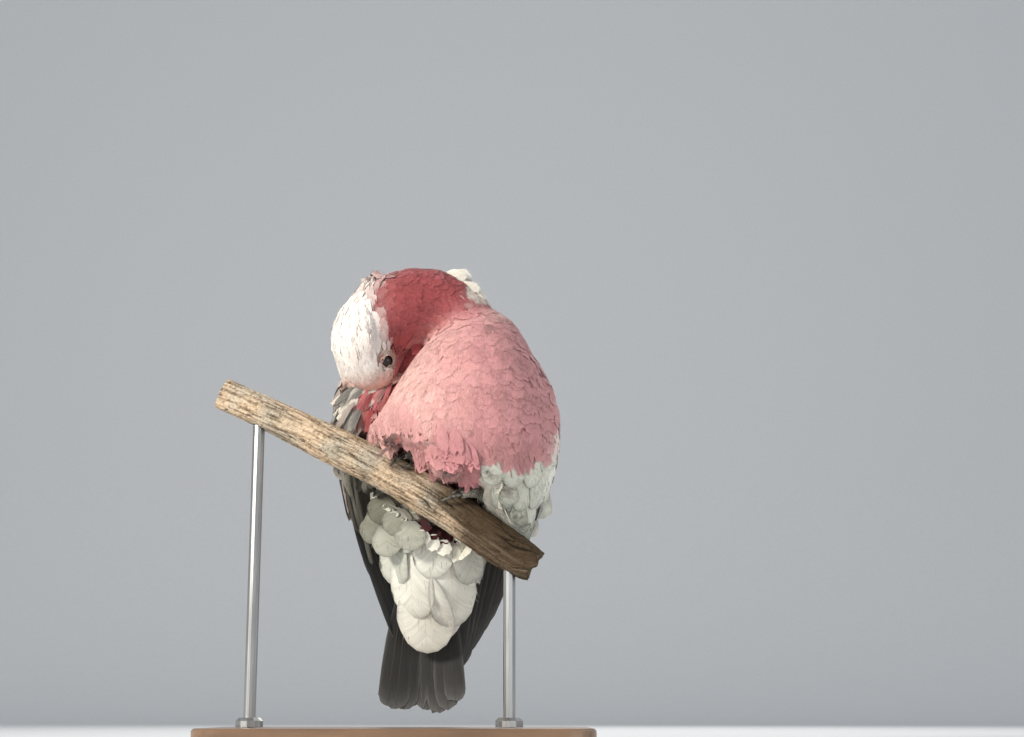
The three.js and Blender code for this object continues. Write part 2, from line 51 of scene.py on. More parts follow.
# ---------------------------------------------------------------- colours
def linear(text):
    """A #rrggbb colour as linear light."""
    c = np.array([int(text[i : i + 2], 16) / 255 for i in (1, 3, 5)])
    return np.where(c <= 0.04045, c / 12.92, ((c + 0.055) / 1.055) ** 2.4)


WHITE = linear("#fbf3ee")
BLUSH = linear("#e8bdb0")
ROSE = linear("#c06c72")
PETAL = linear("#dbaea6")
HEATH = linear("#c98c8d")
DUSK = linear("#9c4646")
WINE = linear("#782e2e")
MILK = linear("#e9e1d8")
SHELL_PINK = linear("#dd9c86")
DEEP = linear("#9c4a50")
RED = linear("#a03c3c")
DOWN = linear("#a59a90")
CREAM = linear("#e6e2d2")
IVORY = linear("#f8f7ea")
STONE = linear("#bcc2b4")
ASH = linear("#8f9192")
SLATE = linear("#5d5c59")
COAL = linear("#2f2d2b")
SHELL = linear("#cbbfae")


def blend(a, b, share):
    """From colour a to colour b; share is one number or one for each point."""
    share = np.asarray(share, float)
    return a + (b - a) * (share[..., None] if share.ndim and share.shape[-1] != 1 else share)


def ease(low, high, x):
    """0 below low, 1 above high, smooth between."""
    t = np.clip((np.asarray(x, float) - low) / (high - low), 0, 1)
    return t * t * (3 - 2 * t)


def unit(v):
    v = np.asarray(v, float)
    return v / np.maximum(np.linalg.norm(v, axis=-1, keepdims=True), 1e-12)


def dot(a, b):
    return (a * b).sum(-1)


# ---------------------------------------------------------------- meshes
def link(name, mesh):
    o = bpy.data.objects.new(name, mesh)
    bpy.context.scene.collection.objects.link(o)
    return o


def mesh_of(name, points, faces):
    """A mesh from arrays; faces is one array of like faces or a list of such arrays."""
    groups = faces if isinstance(faces, list) else [faces]
    sizes = np.concatenate([np.full(len(f), f.shape[1]) for f in groups])
    corners = np.concatenate([f.reshape(-1) for f in groups]).astype(np.int32)
    starts = np.concatenate([[0], np.cumsum(sizes)[:-1]]).astype(np.int32)
    mesh = bpy.data.meshes.new(name)
    mesh.vertices.add(len(points))
    mesh.vertices.foreach_set("co", np.asarray(points, np.float32).reshape(-1))
    mesh.loops.add(len(corners))
    mesh.loops.foreach_set("vertex_index", corners)
    mesh.polygons.add(len(sizes))
    mesh.polygons.foreach_set("loop_start", starts)
    mesh.update(calc_edges=True)
    mesh.validate()
    mesh.shade_smooth()
    return mesh


def give(mesh, name, values):
    """A value at each point: a colour (4), a vector (3) or a number."""
    values = np.asarray(values, np.float32)
    kind, key = {1: ("FLOAT", "value"), 2: ("FLOAT_VECTOR", "vector")}[values.ndim]
    if values.ndim == 2 and values.shape[1] == 4:
        kind, key = "FLOAT_COLOR", "color"
    layer = mesh.attributes.new(name, kind, "POINT")
    layer.data.foreach_set(key, values.reshape(-1))


def opaque(rgb):
    return np.concatenate([rgb, np.ones((*rgb.shape[:-1], 1))], -1)


def arrays(mesh):
    """Points, point normals and faces' corners of a mesh."""
    points = np.zeros(len(mesh.vertices) * 3, np.float32)
    mesh.vertices.foreach_get("co", points)
    normals = np.zeros(len(mesh.vertices) * 3, np.float32)
    mesh.vertex_normals.foreach_get("vector", normals)
    mesh.calc_loop_triangles()
    tris = np.zeros(len(mesh.loop_triangles) * 3, np.int32)
    mesh.loop_triangles.foreach_get("vertices", tris)
    return (
        points.reshape(-1, 3).astype(float),
        unit(normals.reshape(-1, 3)),
        tris.reshape(-1, 3),
    )


def merged(names, voxel, rounds):
    """One closed smooth mesh round several nodes."""
    bm = bmesh.new()
    for name in names:
        bm.from_mesh(NODES[name].data)
    mesh = bpy.data.meshes.new("merged")
    bm.to_mesh(mesh)
    bm.free()
    o = link("merged", mesh)
    cut = o.modifiers.new("remesh", "REMESH")
    cut.mode, cut.voxel_size = "VOXEL", voxel
    calm = o.modifiers.new("smooth", "SMOOTH")
    calm.iterations, calm.factor = rounds, 0.5
    shape = o.evaluated_get(bpy.context.evaluated_depsgraph_get())
    result = bpy.data.meshes.new_from_object(shape)
    bpy.data.objects.remove(o)
    if "sharp_face" in result.attributes:
        result.attributes.remove(result.attributes["sharp_face"])
    result.shade_smooth()
    return result


class Surface:
    """A mesh, in mm, that points are dropped onto."""

    def __init__(self, points, normals, tris):
        self.points, self.normals, self.tris = points, normals, tris
        self.tree = BVHTree.FromPolygons(points.tolist(), tris.tolist())
        self.face_normals = unit(normals[tris].sum(1))

    def nearest(self, q):
        """The nearest surface points, the normals there, how far they are and their faces."""
        place = np.empty((len(q), 3))
        face = np.empty(len(q), int)
        far = np.empty(len(q))
        find = self.tree.find_nearest
        for i, p in enumerate(q.tolist()):
            hit, _, index, d = find(p)
            place[i], face[i], far[i] = hit, index, d
        return place, self.face_normals[face], far, face


def surface_of(mesh):
    """A mesh as a surface in mm."""
    points, normals, tris = arrays(mesh)
    return Surface(points / MM, normals, tris)


# ---------------------------------------------------------------- materials
def shader(name, base, rough, **fixed):
    """A material with one Principled shader; fixed values go on its own sockets."""
    material = bpy.data.materials.new(name)
    material.use_nodes = True
    material.diffuse_color = (*base, 1)
    tree = material.node_tree
    p = tree.nodes["Principled BSDF"]
    p.inputs["Base Color"].default_value = (*base, 1)
    p.inputs["Roughness"].default_value = rough
    for key, value in fixed.items():
        p.inputs[key.replace("_", " ")].default_value = value
    return material, tree, p


def add(tree, kind, values=None, **settings):
    """A node; values are numbers or the sockets that feed its inputs."""
    n = tree.nodes.new("ShaderNode" + kind)
    for key, value in settings.items():
        setattr(n, key, value)
    for key, value in (values or {}).items():
        if isinstance(value, bpy.types.NodeSocket):
            tree.links.new(value, n.inputs[key])
        else:
            n.inputs[key].default_value = value
    return n


def maths(tree, operation, a, b=0.0):
    return add(tree, "Math", {0: a, 1: b}, operation=operation).outputs[0]


def span(tree, value, low, high, to_low, to_high):
    keys = ("Value", "From Min", "From Max", "To Min", "To Max")
    return add(tree, "MapRange", dict(zip(keys, (value, low, high, to_low, to_high)))).outputs[0]


def shade(tree, colour, amount):
    """The colour made lighter or darker by a number."""
    scale = add(tree, "VectorMath", {0: colour}, operation="SCALE")
    tree.links.new(amount, scale.inputs["Scale"])
    return scale.outputs[0]


def fleck(tree, place, scale, detail, rough=0.5):
    """Noise at a place."""
    values = {"Vector": place, "Scale": scale, "Detail": detail, "Roughness": rough}
    return add(tree, "TexNoise", values).outputs["Fac"]


def feather_material(name, base, rough, barbs, depth, gloss):
    """Soft vanes: tinted at each point, streaked and ridged along their barbs."""
    soft = dict(Sheen_Weight=0.18, Sheen_Roughness=0.5, Specular_IOR_Level=gloss)
    material, tree, p = shader(name, base, rough, **soft)
    tint = add(tree, "Attribute", attribute_name="tint").outputs["Color"]
    vane = add(tree, "Attribute", attribute_name="vane").outputs["Vector"]
    split = add(tree, "SeparateXYZ", {0: vane})
    across, along, seed = (split.outputs[i] for i in range(3))
    side = maths(tree, "ABSOLUTE", across)
    slope = maths(tree, "MULTIPLY", side, barbs * 0.4)
    slant = maths(tree, "SUBTRACT", maths(tree, "MULTIPLY", along, barbs), slope)
    place = add(tree, "CombineXYZ", {0: slant, 1: maths(tree, "MULTIPLY", across, 0.7), 2: seed}).outputs[0]
    streak = fleck(tree, place, 1.0, 3.0, 0.65)
    tree.links.new(shade(tree, tint, span(tree, streak, 0.25, 0.75, 0.8, 1.16)), p.inputs["Base Color"])
    bump = add(tree, "Bump", {"Height": streak, "Strength": depth, "Distance": 0.4 * MM})
    tree.links.new(bump.outputs[0], p.inputs["Normal"])
    return material


def grain_material(
    name, base, rough, scale, contrast, depth, stretch=(1, 1, 1), tinted=True, bump=0.3 * MM, **fixed
):
    """Solid stuff with a grain: noise in the object's own space, stretched along it."""
    material, tree, p = shader(name, base, rough, **fixed)
    place = add(tree, "TexCoord").outputs["Object"]
    place = add(tree, "Mapping", {"Vector": place, "Scale": stretch}).outputs[0]
    coarse = fleck(tree, place, scale, 8.0, 0.65)
    if tinted:
        colour = add(tree, "Attribute", attribute_name="tint").outputs["Color"]
    else:
        colour = add(tree, "RGB").outputs[0]
        colour.default_value = (*base, 1)
    lit = span(tree, coarse, 0.3, 0.7, 1 - contrast, 1 + contrast)
    tree.links.new(shade(tree, colour, lit), p.inputs["Base Color"])
    fine = add(tree, "Bump", {"Height": coarse, "Strength": depth, "Distance": bump})
    tree.links.new(fine.outputs[0], p.inputs["Normal"])
    worn = span(tree, coarse, 0.3, 0.7, max(rough - 0.08, 0.05), min(rough + 0.1, 1))
    tree.links.new(worn, p.inputs["Roughness"])
    return material


def dress(mesh, material):
    mesh.materials.clear()
    mesh.materials.append(material)


def show(name, mesh, material, slot, *replaced):
    """A visible piece, and the CAD nodes that it stands for."""
    dress(mesh, material)
    piece = link(name, mesh)
    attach(piece, "root")
    if replaced:
        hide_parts(*replaced)


# ---------------------------------------------------------------- the camera, light and stage
CAMERA = {"reach": 1.1, "up": 12, "aim": (0.07276, 0, 0.2524), "lens": 56.87}


def place_camera():
    data = bpy.data.cameras.new("camera")
    data.lens, data.sensor_width = CAMERA["lens"], 36
    o = bpy.data.objects.new("camera", data)
    bpy.context.scene.collection.objects.link(o)
    rise = math.radians(CAMERA["up"])
    away = Vector((0, -math.cos(rise), -math.sin(rise))) * CAMERA["reach"]
    o.location = Vector(CAMERA["aim"]) + away
    o.rotation_euler = (math.radians(90 + CAMERA["up"]), 0, 0)
    bpy.context.scene.camera = o


def lamp(name, place, aim, size, power, colour):
    data = bpy.data.lights.new(name, "AREA")
    data.shape, data.size, data.energy, data.color = "DISK", size, power, colour
    o = bpy.data.objects.new(name, data)
    bpy.context.scene.collection.objects.link(o)
    o.location = place
    o.rotation_euler = (Vector(aim) - Vector(place)).to_track_quat("-Z", "Y").to_euler()


LAMPS = {  # place, size in metres, power and colour
    "key": ((-1.15, -1.1, 0.85), 0.4, 35, (1.0, 0.95, 0.88)),
    "fill": ((1.4, -1.2, 0.5), 1.4, 9, (0.93, 0.96, 1.0)),
    "rim": ((0.3, 1.3, 1.2), 1.0, 12, (1.0, 0.98, 0.95)),
}
LAMPS_AIM = (0.03, 0.02, 0.2)
SKY = {"Color": (0.86, 0.9, 0.95, 1), "Strength": 0.5}
PAPER = (0.72, 0.73, 0.74)


def light_and_stage():
    for name, (place, size, power, colour) in LAMPS.items():
        lamp(name, place, LAMPS_AIM, size, power, colour)
    bpy.context.scene.view_settings.view_transform = "Standard"
    world = bpy.data.worlds.new("studio")
    bpy.context.scene.world = world
    world.use_nodes = True
    sky = world.node_tree.nodes["Background"]
    for key, value in SKY.items():
        sky.inputs[key].default_value = value
    floor = paper_sweep()
    material, tree, p = shader("paper", PAPER, 0.9)
    speck = fleck(tree, add(tree, "TexCoord").outputs["Object"], 160.0, 4.0)
    colour = add(tree, "RGB").outputs[0]
    colour.default_value = (*PAPER, 1)
    tree.links.new(shade(tree, colour, span(tree, speck, 0.3, 0.7, 0.98, 1.02)), p.inputs["Base Color"])
    dress(floor.data, material)


def paper_sweep():
    """A floor that turns up into a wall behind, in metres."""
    half_width, near = 4.0, -2.5
    far, rise, turn, steps = 3.0, 3.2, 0.6, 12
    line = [(near, 0.0)]
    for k in range(steps + 1):
        a = math.pi / 2 * k / steps
        line.append((far - turn + turn * math.sin(a), turn - turn * math.cos(a)))
    line.append((far, rise))
    points = [(x, y, z) for x in (-half_width, half_width) for y, z in line]
    n = len(line)
    faces = np.array([[k, k + 1, n + k + 1, n + k] for k in range(n - 1)])
    return link("floor", mesh_of("floor", points, faces))


# ---------------------------------------------------------------- the bird's own axes, in mm
def middle(name):
    """The middle of a node's box, in mm."""
    low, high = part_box(name)
    return np.array((low + high) / 2) / MM


BILL_WAY = unit((0.1, 0.36, -0.93))
LEFT_WAY = unit(middle("eye_left") - middle("eye_right"))
LEFT_WAY = unit(LEFT_WAY - BILL_WAY * dot(LEFT_WAY, BILL_WAY))
CROWN_WAY = np.cross(BILL_WAY, LEFT_WAY)
EYE_AT = (3.4, 8.2)  # the eyes' place forward and up from the head's middle
HEAD_MID = (middle("eye_left") + middle("eye_right")) / 2 - BILL_WAY * EYE_AT[0] - CROWN_WAY * EYE_AT[1]
UP = np.array((0.0, 0.0, 1.0))
BACK = np.array((0.0, 1.0, 0.0))


def head_frame(p):
    """Forward, up and left of the head's middle."""
    q = p - HEAD_MID
    return dot(q, BILL_WAY), dot(q, CROWN_WAY), dot(q, LEFT_WAY)


def box_mm(name):
    low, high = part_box(name)
    return np.array(low) / MM, np.array(high) / MM


NECK_LOW, NECK_HIGH = box_mm("neck")
TRUNK_LOW, TRUNK_HIGH = box_mm("trunk")
NECK_HUB = np.array(((NECK_LOW[0] + NECK_HIGH[0]) / 2, 12, NECK_LOW[2] + 4))
TRUNK_TOP = np.array((TRUNK_HIGH[0] - 62, 5, TRUNK_HIGH[2] - 4))


def corners_of(name):
    """A node's triangles, in mm."""
    points, _, tris = arrays(NODES[name].data)
    return points[tris] / MM


def branch_axis():
    """The branch's middle line, from slices across it."""
    corners = corners_of("perch_branch")
    points = corners.reshape(-1, 3)
    low, high = points[:, 0].min(), points[:, 0].max()
    from_ends, slices = 8, 16
    a, b = corners, corners[:, [1, 2, 0]]
    mids = []
    for x in np.linspace(low + from_ends, high - from_ends, slices):
        cut = (a[..., 0] - x) * (b[..., 0] - x) < 0
        share = (x - a[cut][:, 0]) / (b[cut][:, 0] - a[cut][:, 0])
        hits = a[cut] + (b[cut] - a[cut]) * share[:, None]
        mids.append((hits.min(0) + hits.max(0)) / 2)
    return np.array(mids)


BRANCH_MIDS = branch_axis()


def over_branch(p):
    """How far a point is above the branch's middle line."""
    return p[:, 2] - np.interp(p[:, 0], BRANCH_MIDS[:, 0], BRANCH_MIDS[:, 2])


FLESH = {  # each node's depth of coat
    "head": 1.3,
    "crest": 1.2,
    "neck": 3.2,
    "trunk": 3.6,
    "thigh_left": 2.6,
    "thigh_right": 2.6,
    "undertail_coverts": 2.4,
    "wing_left_arm": 1.2,
    "wing_right_arm": 1.2,
}
COAT_DEPTHS = np.array(list(FLESH.values()))
ZONES = list(FLESH)
ZONE = {name: k for k, name in enumerate(ZONES)}


VOXEL = 1.9 * MM
BODY = surface_of(merged(FLESH, VOXEL, 3))
PARTS = {name: surface_of(NODES[name].data) for name in FLESH}
HARD_NODES = ["perch_branch", "foot_left", "foot_right", "bill_upper", "bill_lower", "eye_left", "eye_right"]
HARD = {name: surface_of(NODES[name].data) for name in HARD_NODES}


def zone_shares(p, blur=4.0):
    """How much each node has to say at each point, as shares that add up to 1."""
    far = np.stack([PARTS[name].nearest(p)[2] for name in ZONES], 1)
    weight = np.exp(-(far - far.min(1, keepdims=True)) / blur)
    return weight / weight.sum(1, keepdims=True)


SHARES = zone_shares(BODY.points)


def zones_on(face):
    """The zone shares on faces of the body."""
    return SHARES[BODY.tris[face]].mean(1)


def ripple(p, scale, seed=0.0):
    """Smooth noise from -1 to 1 at each point."""
    at = noise.noise
    return np.array([at(Vector((x * scale + seed, y * scale, z * scale))) for x, y, z in p.tolist()])


# ---------------------------------------------------------------- plumage colours
OUTWARD = {"wing_left_arm": unit((0.83, 0.55, 0.0)), "wing_right_arm": unit((-0.55, 0.83, 0.0))}


def tuft_at(p):
    """1 in the pale tuft where the neck meets the shoulder."""
    x, y, z = p.T
    return np.exp(-(((x - 50) / 11) ** 2 + ((z - 304) / 12) ** 2) * 1.2) * ease(34, 14, y)


def plumage(p, n, w):
    """The markings, with some painted light and shade, the same for the skin and the coat, at points p with
    normals n and zone shares w.
    """
    x, y, z = p.T
    forward, up, _ = head_frame(p)
    mottle = ripple(p, 0.045, 3.0)
    drift = ripple(p, 0.11, 9.0)

    cap = ease(2.6, 5.6, up + drift * 1.2)
    flush = ease(4, 24, forward + drift * 4)
    crown = blend(MILK * 0.84, SHELL_PINK, flush)
    crown = crown * (1 - 0.1 * ease(-0.2, 0.7, mottle))[:, None]
    # The face below the cap: the head's deep pink darkened by painted shade, darkest towards the back.
    cheek = blend(WINE, DUSK, ease(-8, 14, forward))
    cheek = blend(cheek, ROSE, 0.4 * ease(0.1, 0.8, drift))
    head = blend(cheek, crown, cap)

    crest = blend(MILK, BLUSH, 0.25 * ease(0.0, 0.8, mottle))

    # The neck's dusky red: its own deep pink darkened by painted shade.
    neck = blend(DUSK, WINE, 0.25 + 0.7 * ease(-0.35, 0.4, mottle + 0.5 * drift))
    neck = blend(neck, ROSE, 0.5 * ease(0.2, 0.8, drift))
    neck = blend(neck, WHITE, ease(4.0, 8.0, up) * ease(-12, -22, x))
    neck = blend(neck, blend(DOWN, CREAM, 0.85), ease(0.3, 0.55, tuft_at(p) + 0.15 * drift))
    nape = ease(24, 36, y + 5 * mottle) * ease(296, 284, z)
    neck = blend(neck, ASH, nape)

    # Paler on the left and darker on the right: partly the breast's own tone, partly painted light and shade.
    side = ease(-6, 58, x + 10 * mottle)
    breast = blend(PETAL, HEATH, side)
    breast = blend(breast, BLUSH, 0.4 * ease(0.0, 0.9, drift - 0.4 * side))
    # Redder low down just above the branch: painted shade on the belly.
    belly = ease(178, 150, z + 7 * mottle + 0.12 * x)
    breast = blend(breast, RED, 0.45 * belly)
    shoulder = ease(276, 290, z + 4 * drift) * ease(40, 64, x)
    breast = blend(breast, blend(BLUSH, DOWN, 0.35), 0.6 * shoulder)
    spot = np.exp(-(((x + 6.5) / 3.2) ** 2 + ((z - 198) / 3.2) ** 2))
    breast = blend(breast, RED * 0.8, 0.8 * spot * ease(5, -5, y))
    speck = np.exp(-(((x - 59) / 3.0) ** 2 + ((z - 270.5) / 1.6) ** 2)) * ease(5, -5, y)
    breast = blend(breast, COAL, 0.8 * speck)
    grey = blend(ASH, STONE, ease(200, 120, z))
    turned = ease(0.3, 0.6, n[:, 1]) * ease(8, 16, y)
    behind = np.maximum(ease(20, 32, y + 5 * mottle + 4 * drift), turned)
    vent = ease(1, -7, over_branch(p) + 3 * drift)
    flank = ease(183, 177, z + 6 * drift - 0.25 * np.abs(x - 74)) * ease(48, 58, x)
    pale = blend(blend(CREAM, STONE, 0.5), DOWN, 0.3 * ease(-0.2, 0.6, mottle))
    trunk = blend(breast, pale, np.maximum(vent, flank))
    trunk = blend(trunk, grey, behind)

    thigh = blend(CREAM, STONE, 0.5 + 0.4 * drift)
    thigh = blend(thigh, DOWN, 0.5 * ease(45, 25, x))
    thigh = blend(thigh, HEATH, ease(178, 184, z + 6 * drift))

    under = blend(CREAM, WHITE, ease(128, 96, z + 8 * mottle))
    under = blend(under, blend(STONE, DOWN, 0.35), 0.8 * ease(122, 146, z + 7 * drift))

    outer = blend(ASH, SLATE, 0.25 + 0.3 * mottle)
    edge = IVORY * 1.03
    left_wing = blend(edge, outer, ease(8, 20, y - 0.12 * (z - 200)))
    left_wing = blend(left_wing, HEATH, ease(20, 12, y + 4 * drift) * ease(200, 208, z + 4 * drift))
    lining = 0.9 * ease(205, 228, z + 8 * drift) * ease(-36, -26, x)
    inner = blend(blend(DOWN, SLATE, 0.35), ROSE, lining)
    right_wing = blend(inner, outer, ease(-0.15, 0.3, dot(n, OUTWARD["wing_right_arm"])))

    colours = np.stack([head, crest, neck, trunk, thigh, thigh, under, left_wing, right_wing], 1)
    # Dark red behind the branch: painted shade.
    branch_shade = np.exp(-(((x - 24) / 8) ** 2 + ((z - 148) / 8) ** 2) * 1.5) * ease(40, 28, y)
    return blend((colours * w[:, :, None]).sum(1), DEEP * 0.35, branch_shade)


def lie(p, n, w):
    """The way the coat lies: from the bill over the head, round the neck's arch, and down the body."""
    head = np.tile(-BILL_WAY, (len(p), 1))
    round_neck = unit(np.cross(np.tile(BACK, (len(p), 1)), p - NECK_HUB) * (1, 0, 1))
    down = unit(unit(p - TRUNK_TOP) * 0.45 - UP * 0.75)
    fall = unit(unit(p - TRUNK_TOP) * (0.15, 0.1, 0) - UP)
    wing = np.tile(-UP, (len(p), 1))
    ways = np.stack([head, head, round_neck, down, fall, fall, fall, wing, wing], 1)
    way = (ways * w[:, :, None]).sum(1)
    return unit(way - n * dot(way, n)[:, None])


# ---------------------------------------------------------------- skin
def make_skin():
    """One skin over the flesh, deeper than it by the coat's depth and darker than the coat."""
    p, n = BODY.points, BODY.normals
    mesh = mesh_of("skin", (p - n * (SHARES @ COAT_DEPTHS)[:, None]) * MM, BODY.tris)
    give(mesh, "tint", opaque(plumage(p, n, SHARES) * 0.82))
    material = grain_material("skin", tuple(ROSE), 0.8, 900, 0.12, 0.4, Specular_IOR_Level=0.2)
    show("skin", mesh, material, "pink_feather", *FLESH)


# ---------------------------------------------------------------- feathers
def rows_and_columns(rows, columns):
    """Places along and across a feather, closest together at its tip and edges."""
    along = 1 - (1 - np.linspace(0, 1, rows)) ** 1.35
    return along, np.sin(np.linspace(-0.5, 0.5, columns) * math.pi)


def lens_faces(rows, columns):
    """Faces of a closed vane: a grid on top, and under it a smaller grid that shares its rim."""
    top = np.arange(rows * columns).reshape(rows, columns)
    under = top.copy()
    inside = np.arange((rows - 2) * (columns - 2)).reshape(rows - 2, columns - 2)
    under[1:-1, 1:-1] = inside + rows * columns

    def quads(grid, flip):
        a, b, c, d = grid[:-1, :-1], grid[:-1, 1:], grid[1:, 1:], grid[1:, :-1]
        ring = (a, d, c, b) if flip else (a, b, c, d)
        return np.stack([k.reshape(-1) for k in ring], 1)

    return np.concatenate([quads(top, True), quads(under, False)])


PATCH = 0.003  # a feather's size on the OFBake map


class Coat:
    """Vanes and wisps gathered into one closed-bodied mesh."""

    def __init__(self, name, slot, material):
        self.name, self.slot, self.material = name, slot, material
        self.points, self.tints, self.vanes, self.maps, self.faces = [], [], [], [], []
        self.normals, self.below = [], []
        self.count = 0

    def put(self, points, normals, tints, vanes, roots, patch, faces, below=0):
        """points (n, v, 3) with like normals, tints and vane places; roots (n, 3); patch (n, v, 2).

        The last `below` faces of each body are its underside and keep their own normals."""
        n, v = points.shape[:2]
        self.points.append(points.reshape(-1, 3))
        self.normals.append(unit(normals.reshape(-1, 3)))
        self.tints.append(tints.reshape(-1, 3))
        self.vanes.append(vanes.reshape(-1, 3))
        self.maps.append((np.repeat(roots, v, 0), patch.reshape(-1, 2)))
        start = self.count + np.arange(n)[:, None, None] * v
        for group in faces:
            self.faces.append((start + group[None]).reshape(-1, group.shape[1]))
            self.below.append(np.tile(np.arange(len(group)) >= len(group) - below, n))
        self.count += n * v

    def unwrap(self):
        """Each point's place on the OFBake map, by its root's turn round the piece and its height."""
        roots = np.concatenate([m[0] for m in self.maps])
        patch = np.concatenate([m[1] for m in self.maps])
        mid = (roots.min(0) + roots.max(0)) / 2
        turn = np.arctan2(roots[:, 0] - mid[0], mid[1] - roots[:, 1]) / (2 * math.pi) + 0.5
        height = (roots[:, 2] - roots[:, 2].min()) / max(np.ptp(roots[:, 2]), 1e-6)
        return 0.005 + np.stack([turn, height], 1) * 0.985 + patch * PATCH

    def make(self, *replaced):
        """Shows the piece, in place of the CAD nodes named."""
        points = np.concatenate(self.points)
        order = sorted(range(len(self.faces)), key=lambda k: -self.faces[k].shape[1])
        quads = [self.faces[k] for k in order if self.faces[k].shape[1] == 4]
        tris = [self.faces[k] for k in order if self.faces[k].shape[1] == 3]
        groups = [np.concatenate(g) for g in (quads, tris) if g]
        below = np.concatenate([self.below[k] for k in order])
        mesh = mesh_of(self.name, points * MM, groups)
        give(mesh, "tint", opaque(np.concatenate(self.tints)))
        give(mesh, "vane", np.concatenate(self.vanes))
        corner = np.zeros(len(mesh.loops), np.int32)
        mesh.loops.foreach_get("vertex_index", corner)
        layer = mesh.uv_layers.new(name="OFBake")
        layer.data.foreach_set("uv", self.unwrap()[corner].astype(np.float32).reshape(-1))
        sides = np.concatenate([np.full(len(g), g.shape[1]) for g in groups])
        flat = np.zeros(len(mesh.polygons) * 3, np.float32)
        mesh.polygons.foreach_get("normal", flat)
        flat = np.repeat(flat.reshape(-1, 3), sides, 0)
        soft = np.concatenate(self.normals)[corner]
        mesh.normals_split_custom_set(np.where(np.repeat(below, sides)[:, None], flat, soft))
        show(self.name, mesh, self.material, self.slot, *replaced)


WIDTHS = ((0.0, 0.2, 0.5, 0.8, 1.0), (0.35, 0.72, 0.96, 1.0, 0.97))


def vanes(coat, path, normal, way, length, width, depth, lift, colour, tip, form, seeds, look):
    """Feathers along traced paths (n, rows, 3). look has rounding, fringe, roll, split and root shade."""
    n, rows = path.shape[:2]
    t, c = rows_and_columns(*form)
    w = np.interp(t, *WIDTHS)
    side = unit(np.cross(normal, way))
    half = width[:, None, None] * 0.5 * w[None, :, None]
    c2 = c[None, None, :] ** 2
    t2 = t[None, :, None] ** 2
    high = (-depth[:, None] * (1 - t) ** 1.4 * 0.9 + lift[:, None] * t)[:, :, None] + 0 * c2
    high = high - look["drop"][:, None, None] * c2 * w[None, :, None] ** 2
    high = high + look["roll"][:, None, None] * c[None, None, :] * half
    bow = 1 - np.sqrt(1 - 0.97 * c**2)
    jag = RNG.normal(0, 1, (n, len(c)))
    comb = np.where(np.arange(len(c)) % 2, -1.0, 1.0)
    torn = (RNG.random((n, len(c))) < look["split"]) * RNG.uniform(0.06, 0.16, (n, len(c)))
    short = np.broadcast_to(look["round"], n)[:, None] * bow * 1.2 + torn
    short = short - jag * look["fringe"] - comb * look["comb"]
    along = -length[:, None, None] * np.clip(short, -0.1, 0.42)[:, None] * t2
    points = (
        path[:, :, None]
        + side[:, :, None] * (c[None, None, :] * half)[..., None]
        + normal[:, :, None] * high[..., None]
        + way[:, :, None] * along[..., None]
    )
    thick = look["thick"] * (1 - c2 * 0.6)
    under = (points - normal[:, :, None] * thick[..., None])[:, 1:-1, 1:-1]
    rim = np.maximum(np.abs(c)[None, :] ** look["rim"], t[:, None] ** (look["rim"] + 2))
    shade_of = np.interp(t, (0, 0.45, 1), (look["root"], 0.93, 1.0))[:, None] * (1 + 0 * c)
    mix = colour[:, None, None] * shade_of[None, ..., None]
    mix = mix + (tip[:, None, None] - mix) * (rim * look["edge"])[None, ..., None]
    tints = mix * (1 + RNG.normal(0, 0.02, (n, rows, len(c), 1)))
    place = np.empty((n, rows, len(c), 3))
    place[..., 0], place[..., 1], place[..., 2] = c[None, None], t[None, :, None], seeds[:, None, None]
    patch = np.stack(np.broadcast_arrays((c[None] + 1) / 2, t[:, None]), -1)[None].repeat(n, 0)

    def both(grid):
        flat = grid.reshape(n, -1, grid.shape[-1])
        inner = grid[:, 1:-1, 1:-1].reshape(n, -1, grid.shape[-1])
        return np.concatenate([flat, inner], 1)

    bodies = np.concatenate([points.reshape(n, -1, 3), under.reshape(n, -1, 3)], 1)
    soft = (
        normal[:, :, None]
        + side[:, :, None] * (c * look["cup"])[None, None, :, None]
        + way[:, :, None] * (t * look["bend"])[None, :, None, None]
    )
    true = unit(np.cross(np.gradient(points, axis=1), np.gradient(points, axis=2)))
    true *= np.where(dot(true, normal[:, :, None]) < 0, -1, 1)[..., None]
    soft = both(unit(soft) * (1 - look["true"]) + true * look["true"])
    faces = lens_faces(rows, len(c))
    tints = np.clip(both(tints), 0, 1)
    coat.put(bodies, soft, tints, both(place), path[:, 0], both(patch), [faces], len(faces) // 2)
    return points


WISP = [np.array([[0, 2, 1], [0, 1, 3], [1, 2, 3], [2, 0, 3]])]


def wisps(coat, start, way, normal, length, width, colour, roots, seeds):
    """Fine pointed barbs: three-sided spikes."""
    n = len(start)
    side = unit(np.cross(normal, way))
    ring = np.array([(-1, 0), (1, 0), (0, 0.7)])
    sideways, upward = ((ring[:, k] * width[:, None])[..., None] for k in (0, 1))
    low = side[:, None] * sideways + normal[:, None] * upward
    points = np.concatenate([start[:, None] + low, (start + way * length[:, None])[:, None]], 1)
    tints = np.repeat(colour[:, None], 4, 1) * np.array([0.94, 0.94, 0.94, 1.05])[None, :, None]
    place = np.zeros((n, 4, 3))
    place[..., 1] = np.array([0.5, 0.5, 0.5, 1])
    place[..., 2] = seeds[:, None]
    patch = np.array([(0, 0), (1, 0), (0.5, 0), (0.5, 1.0)])
    soft = np.repeat(normal[:, None], 4, 1) + side[:, None] * (0.3 * ring[[0, 1, 2, 2], 0])[None, :, None]
    coat.put(points, soft, np.clip(tints, 0, 1), place, roots, np.tile(patch, (n, 1, 1)), WISP)


